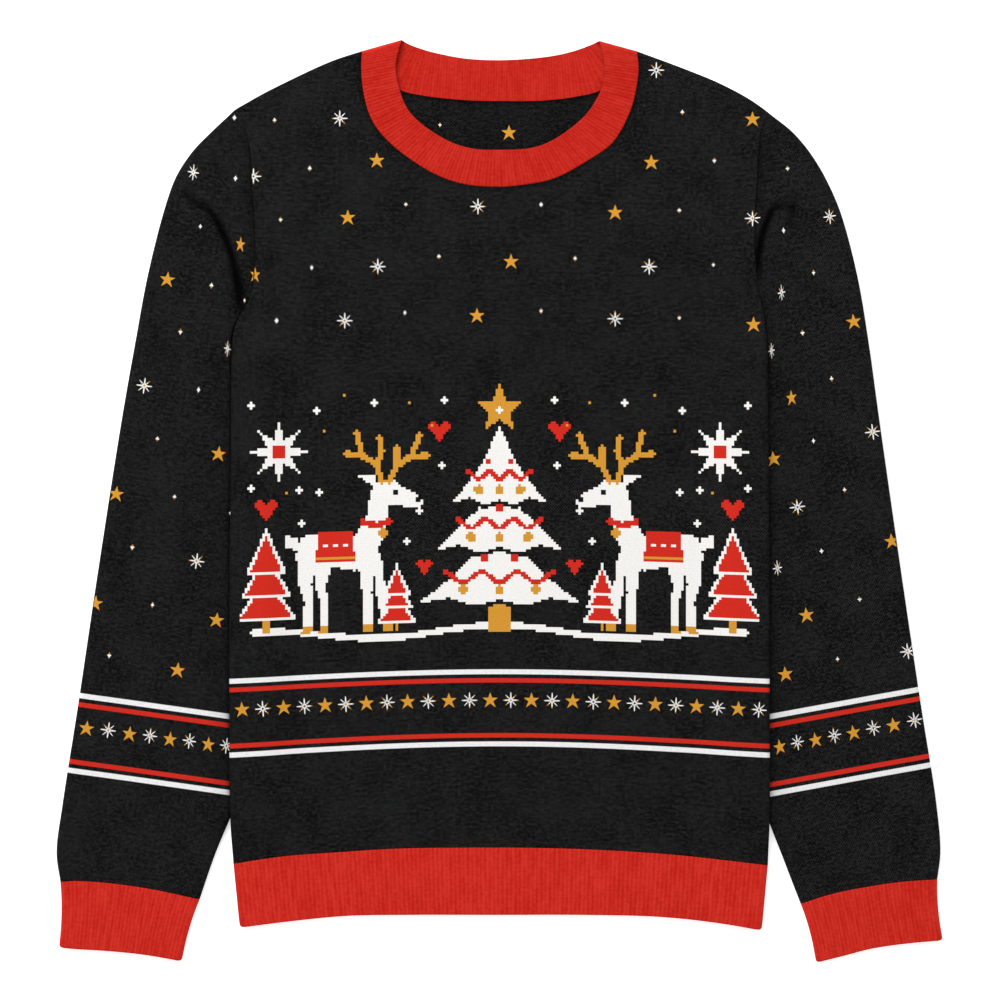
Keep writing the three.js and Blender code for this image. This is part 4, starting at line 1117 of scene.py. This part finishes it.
# a standing reindeer with a blanket and a collar, drawn facing the fir
deer = {
    "body": smoothRim([(-20, 33), (-17, 38), (-8, 37.5), (2, 37.5), (8, 39.5), (12.5, 35), (11.5, 27.5),
                       (4, 24), (-6, 25.5), (-14, 23.5), (-19.5, 27)]),
    "neck": [(3, 37), (8, 45), (9.5, 54), (17, 54), (17, 45), (15, 37), (11, 30)],
    "head": smoothRim([(9.5, 54), (12, 59), (18, 59.5), (24, 55.5), (29, 53), (30, 49.5), (26, 48), (20, 50),
                       (15, 48.5), (11, 50)]),
    "ear": [(11, 57), (4, 61.5), (11.5, 61)],
    "tail": [(-19, 37), (-25, 39), (-24, 34), (-19, 32)],
    "legs": [[(4.5, 27), (10.5, 29), (10, 15), (10.5, 0), (6.5, 0), (6.3, 15)],
             [(10, 29), (13.5, 31), (15.5, 16), (18.5, 0), (14.5, 0), (11.8, 15)],
             [(-19.5, 31), (-11, 29), (-14, 19), (-13, 12), (-14, 0), (-18, 0), (-16.8, 12), (-19, 19)],
             [(-13, 29), (-5, 28), (-8.5, 18), (-7, 12), (-7, 0), (-11, 0), (-10.3, 12), (-12.8, 18)]],
    "antlers": [[(14, 59), (12, 65), (6, 70), (4, 78)], [(12, 65), (14, 71), (13, 76)], [(7, 69), (0, 70)],
                [(17, 59), (20, 65), (26, 69), (29, 77)], [(20, 65), (20, 72)], [(25, 68.5), (32, 69)]],
}


def drawDeer(x, y):
    for leg in deer["legs"]:
        draw(within(moved(leg, x, y)), white)
        draw(within(moved(leg, x, y)) & (cellY < y + 3), gold)
    for name in ("tail", "body", "neck", "head", "ear"):
        draw(within(moved(deer[name], x, y)), white)
    for run in deer["antlers"]:
        draw(near(moved(run, x, y), 2.3), gold)
    draw(within(moved([(-11, 40), (2, 40), (3.5, 28), (-12.5, 28)], x, y)), scarlet)
    draw(near(moved([(-12, 29), (3, 29)], x, y), 1.6), gold)
    for i in range(3):
        draw(disc(x - 8.5 + 4 * i, y + 34, 1.1), white)
    draw(near(moved([(6.5, 43), (12, 41.5), (17, 43)], x, y), 2.6), scarlet)
    draw(disc(x + 14.5, y + 38.5, 1.9), gold)
    draw(disc(x + 19.5, y + 54.5, 0.8), ground)
    draw(disc(x + 28.5, y + 51.5, 1.1), ground)


drawDeer(-61, 5)

# small firs at the two ends, hearts, star flowers and snow
for x, y, size in ((-93, 6, 1.0), (-41, 5, 0.62)):
    draw(within(moved([(-1.6 * size, 0), (1.6 * size, 0), (1.6 * size, 7), (-1.6 * size, 7)], x, y)), gold)
    for low, high, half in ((6, 20, 10), (15, 29, 8), (24, 38, 6)):
        low, high, half = y + low * size, y + high * size, half * size
        draw(within([(x - half - 2, low - 1.2), (x + half + 2, low - 1.2), (x, high + 2.5)]), white)
        draw(within([(x - half, low), (x + half, low), (x, high)]), scarlet)


def heart(x, y, size):
    rim = [(0, -1), (0.62, -0.25), (1, 0.35), (0.6, 0.85), (0, 0.42), (-0.6, 0.85), (-1, 0.35), (-0.62, -0.25)]
    return smoothRim([(x + size * a, y + size * b) for a, b in rim])


def starFlower(x, y, size):  # the old eight-petalled knitting star
    draw(within(starRim(x, y, size, 0.46, 8)), white)
    draw(disc(x, y, size * 0.26), scarlet)
    for angle in np.radians(np.arange(22.5, 360, 45)):
        draw(near([(x + size * 0.5 * np.cos(angle), y + size * 0.5 * np.sin(angle)),
                   (x + size * 0.95 * np.cos(angle), y + size * 0.95 * np.sin(angle))], 0.9), ground)


starFlower(-88, 76, 11.5)
draw(within(heart(-93, 54, 4.6)), scarlet)
draw(within(heart(-24, 84, 4.2)), scarlet)
draw(within(heart(-30, 30, 3.2)), scarlet)
for x, y in ((-73, 92), (-50, 95), (-22, 96), (-99, 94), (-72, 60), (-79, 48), (-32, 52), (-99, 62), (-23, 70),
             (-80, 61), (-37, 40)):
    draw(near([(x - 1, y), (x + 1, y)], 1.1) | near([(x, y - 1), (x, y + 1)], 1.1), white)
for x, y in ((-62, 98), (-36, 95), (-85, 60), (-27, 86), (-70, 84)):
    draw(disc(x, y, 0.8), gold)


def chartParts():  # two triangles to a stitch, on the same sagging courses as the stripes
    row, column = np.nonzero(cells >= 0)
    x, y = cellX[row, column] * chart["stitch"], cellY[row, column] * chart["stitch"] + chart["foot"]
    half = chart["stitch"] / 2
    square = [np.stack([x + a * half, y + b * half], axis=1) for a, b in ((-1, -1), (1, -1), (1, 1), (-1, 1))]
    for corner in square:
        corner[:, 1] -= bandDrop(corner[:, 0], corner[:, 1])
    a, b, c, d = square
    corners = np.stack([np.stack([a, b, c], axis=1), np.stack([a, c, d], axis=1)], axis=1).reshape(-1, 3, 2)
    colours = np.repeat(cells[row, column], 2)
    return [{"corners": corners[colours == tone], "colour": tone} for tone in np.unique(colours)]


under = {  # the hidden sides carry on the small repeat in rows; places in mm
    "rows": 42.0, "columns": 56.7, "top": 296.0, "bottom": -268.0, "side": 206, "bandHalf": 46,
    "sleeveShift": (-6, 27), "sleeveTurn": 0.12,
}


def underBody():  # rows of star, speck, flake, speck, each row half a step on, clear of the band
    parts = []
    rows = np.arange(under["top"], under["bottom"], -under["rows"])
    for i, y in enumerate(rows):
        if abs(y - body["bandAt"]) < under["bandHalf"]:
            continue
        step = under["columns"] / 2
        places = np.arange(-under["side"], under["side"], step) + (i % 2) * step
        for j, x in enumerate(places):
            name = ("star", "diamond", "flake", "diamond")[(j + 2 * (i // 2 % 2)) % 4]
            if abs(x) < under["side"]:
                parts += placed(name, x + rng.uniform(-2, 2), y + rng.uniform(-2, 2))
    return parts


def moveParts(parts, dx, dy):
    for part in parts:
        part["corners"] = part["corners"] + (dx, dy)
    return parts


inlays = {
    "front_motifs": inlay("front_motifs", scattered(scatter["front"]) + bandRow(), shells["front"]),
    "front_picture": inlay("front_picture", chartParts(), shells["front"]),
    "neck_motifs": inlay("neck_motifs", scattered(scatter["neck"]), shells["back"]),
    "back_motifs": inlay("back_motifs", underBody() + bandRow(), shells["back"], fromBelow=True),
}
for name in ("sleeve_left", "sleeve_right"):
    turn = under["sleeveTurn"] if name == "sleeve_right" else -under["sleeveTurn"]
    parts = scattered(scatter[name], turn) + sleeveBandRow(name)
    inlays[name + "_motifs"] = inlay(name + "_motifs", parts, shells[name])
    parts = moveParts(scattered(scatter[name], turn), *under["sleeveShift"]) + sleeveBandRow(name)
    inlays[name + "_under_motifs"] = inlay(name + "_under_motifs", parts, shells[name], fromBelow=True)
print("motifs laid")

# floor, light and camera

studio = {  # metres; the paper lies just under the motifs on the underside, and glows a little to stay white
    "paperHalf": 15, "paperLevel": -0.0006, "paperGlow": 0.5, "daylight": 0.72,
    "lampSize": 1.6, "lampWatts": 70, "lampPlace": (-0.9, 2.0, 2.1),
}
floorMesh = bpy.data.meshes.new("floor")
floorMesh.from_pydata([(x * studio["paperHalf"], y * studio["paperHalf"], studio["paperLevel"])
                       for x, y in ((-1, -1), (1, -1), (1, 1), (-1, 1))], [], [(0, 1, 2, 3)])
floor = bpy.data.objects.new("floor", floorMesh)
bpy.context.scene.collection.objects.link(floor)
paper = bpy.data.materials.new("white studio paper")  # matt, plain white under the cloth
paper.use_nodes = True
paper.node_tree.nodes.clear()
sheet = addNode(paper.node_tree, "BsdfPrincipled", {
    "Base Color": (0.93, 0.93, 0.93, 1), "Roughness": 0.95, "Specular IOR Level": 0.1,
    "Emission Color": (1, 1, 1, 1), "Emission Strength": studio["paperGlow"]})
addNode(paper.node_tree, "OutputMaterial", sheet)
floorMesh.materials.append(paper)

bpy.context.scene.view_settings.view_transform = "Standard"

camera = bpy.data.objects.new("camera", bpy.data.cameras.new("camera"))
camera.location = (view["centre"][0] * mm, view["centre"][1] * mm, view["height"])
camera.data.sensor_width = 36
camera.data.lens = 36 * view["height"] / view["mmPerPixel"]
camera.data.clip_end = 50
bpy.context.scene.collection.objects.link(camera)
bpy.context.scene.camera = camera

lamp = bpy.data.lights.new("overhead lamp", "AREA")
lamp.shape, lamp.size, lamp.energy = "SQUARE", studio["lampSize"], studio["lampWatts"]
lampPlace = bpy.data.objects.new("overhead lamp", lamp)
lampPlace.location = studio["lampPlace"]
lampPlace.rotation_euler = (-lampPlace.location).to_track_quat("-Z", "Y").to_euler()
bpy.context.scene.collection.objects.link(lampPlace)
world = bpy.data.worlds.new("studio")
bpy.context.scene.world = world
world.use_nodes = True
background = world.node_tree.nodes["Background"]
background.inputs["Color"].default_value = (1, 1, 1, 1)
background.inputs["Strength"].default_value = studio["daylight"]

# each shell and each motif piece rides the root body; the model.glb part that a shell stands for is hidden
for name, piece in shells.items():
    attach(piece, "root")
    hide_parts(name)
for piece in inlays.values():
    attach(piece, "root")
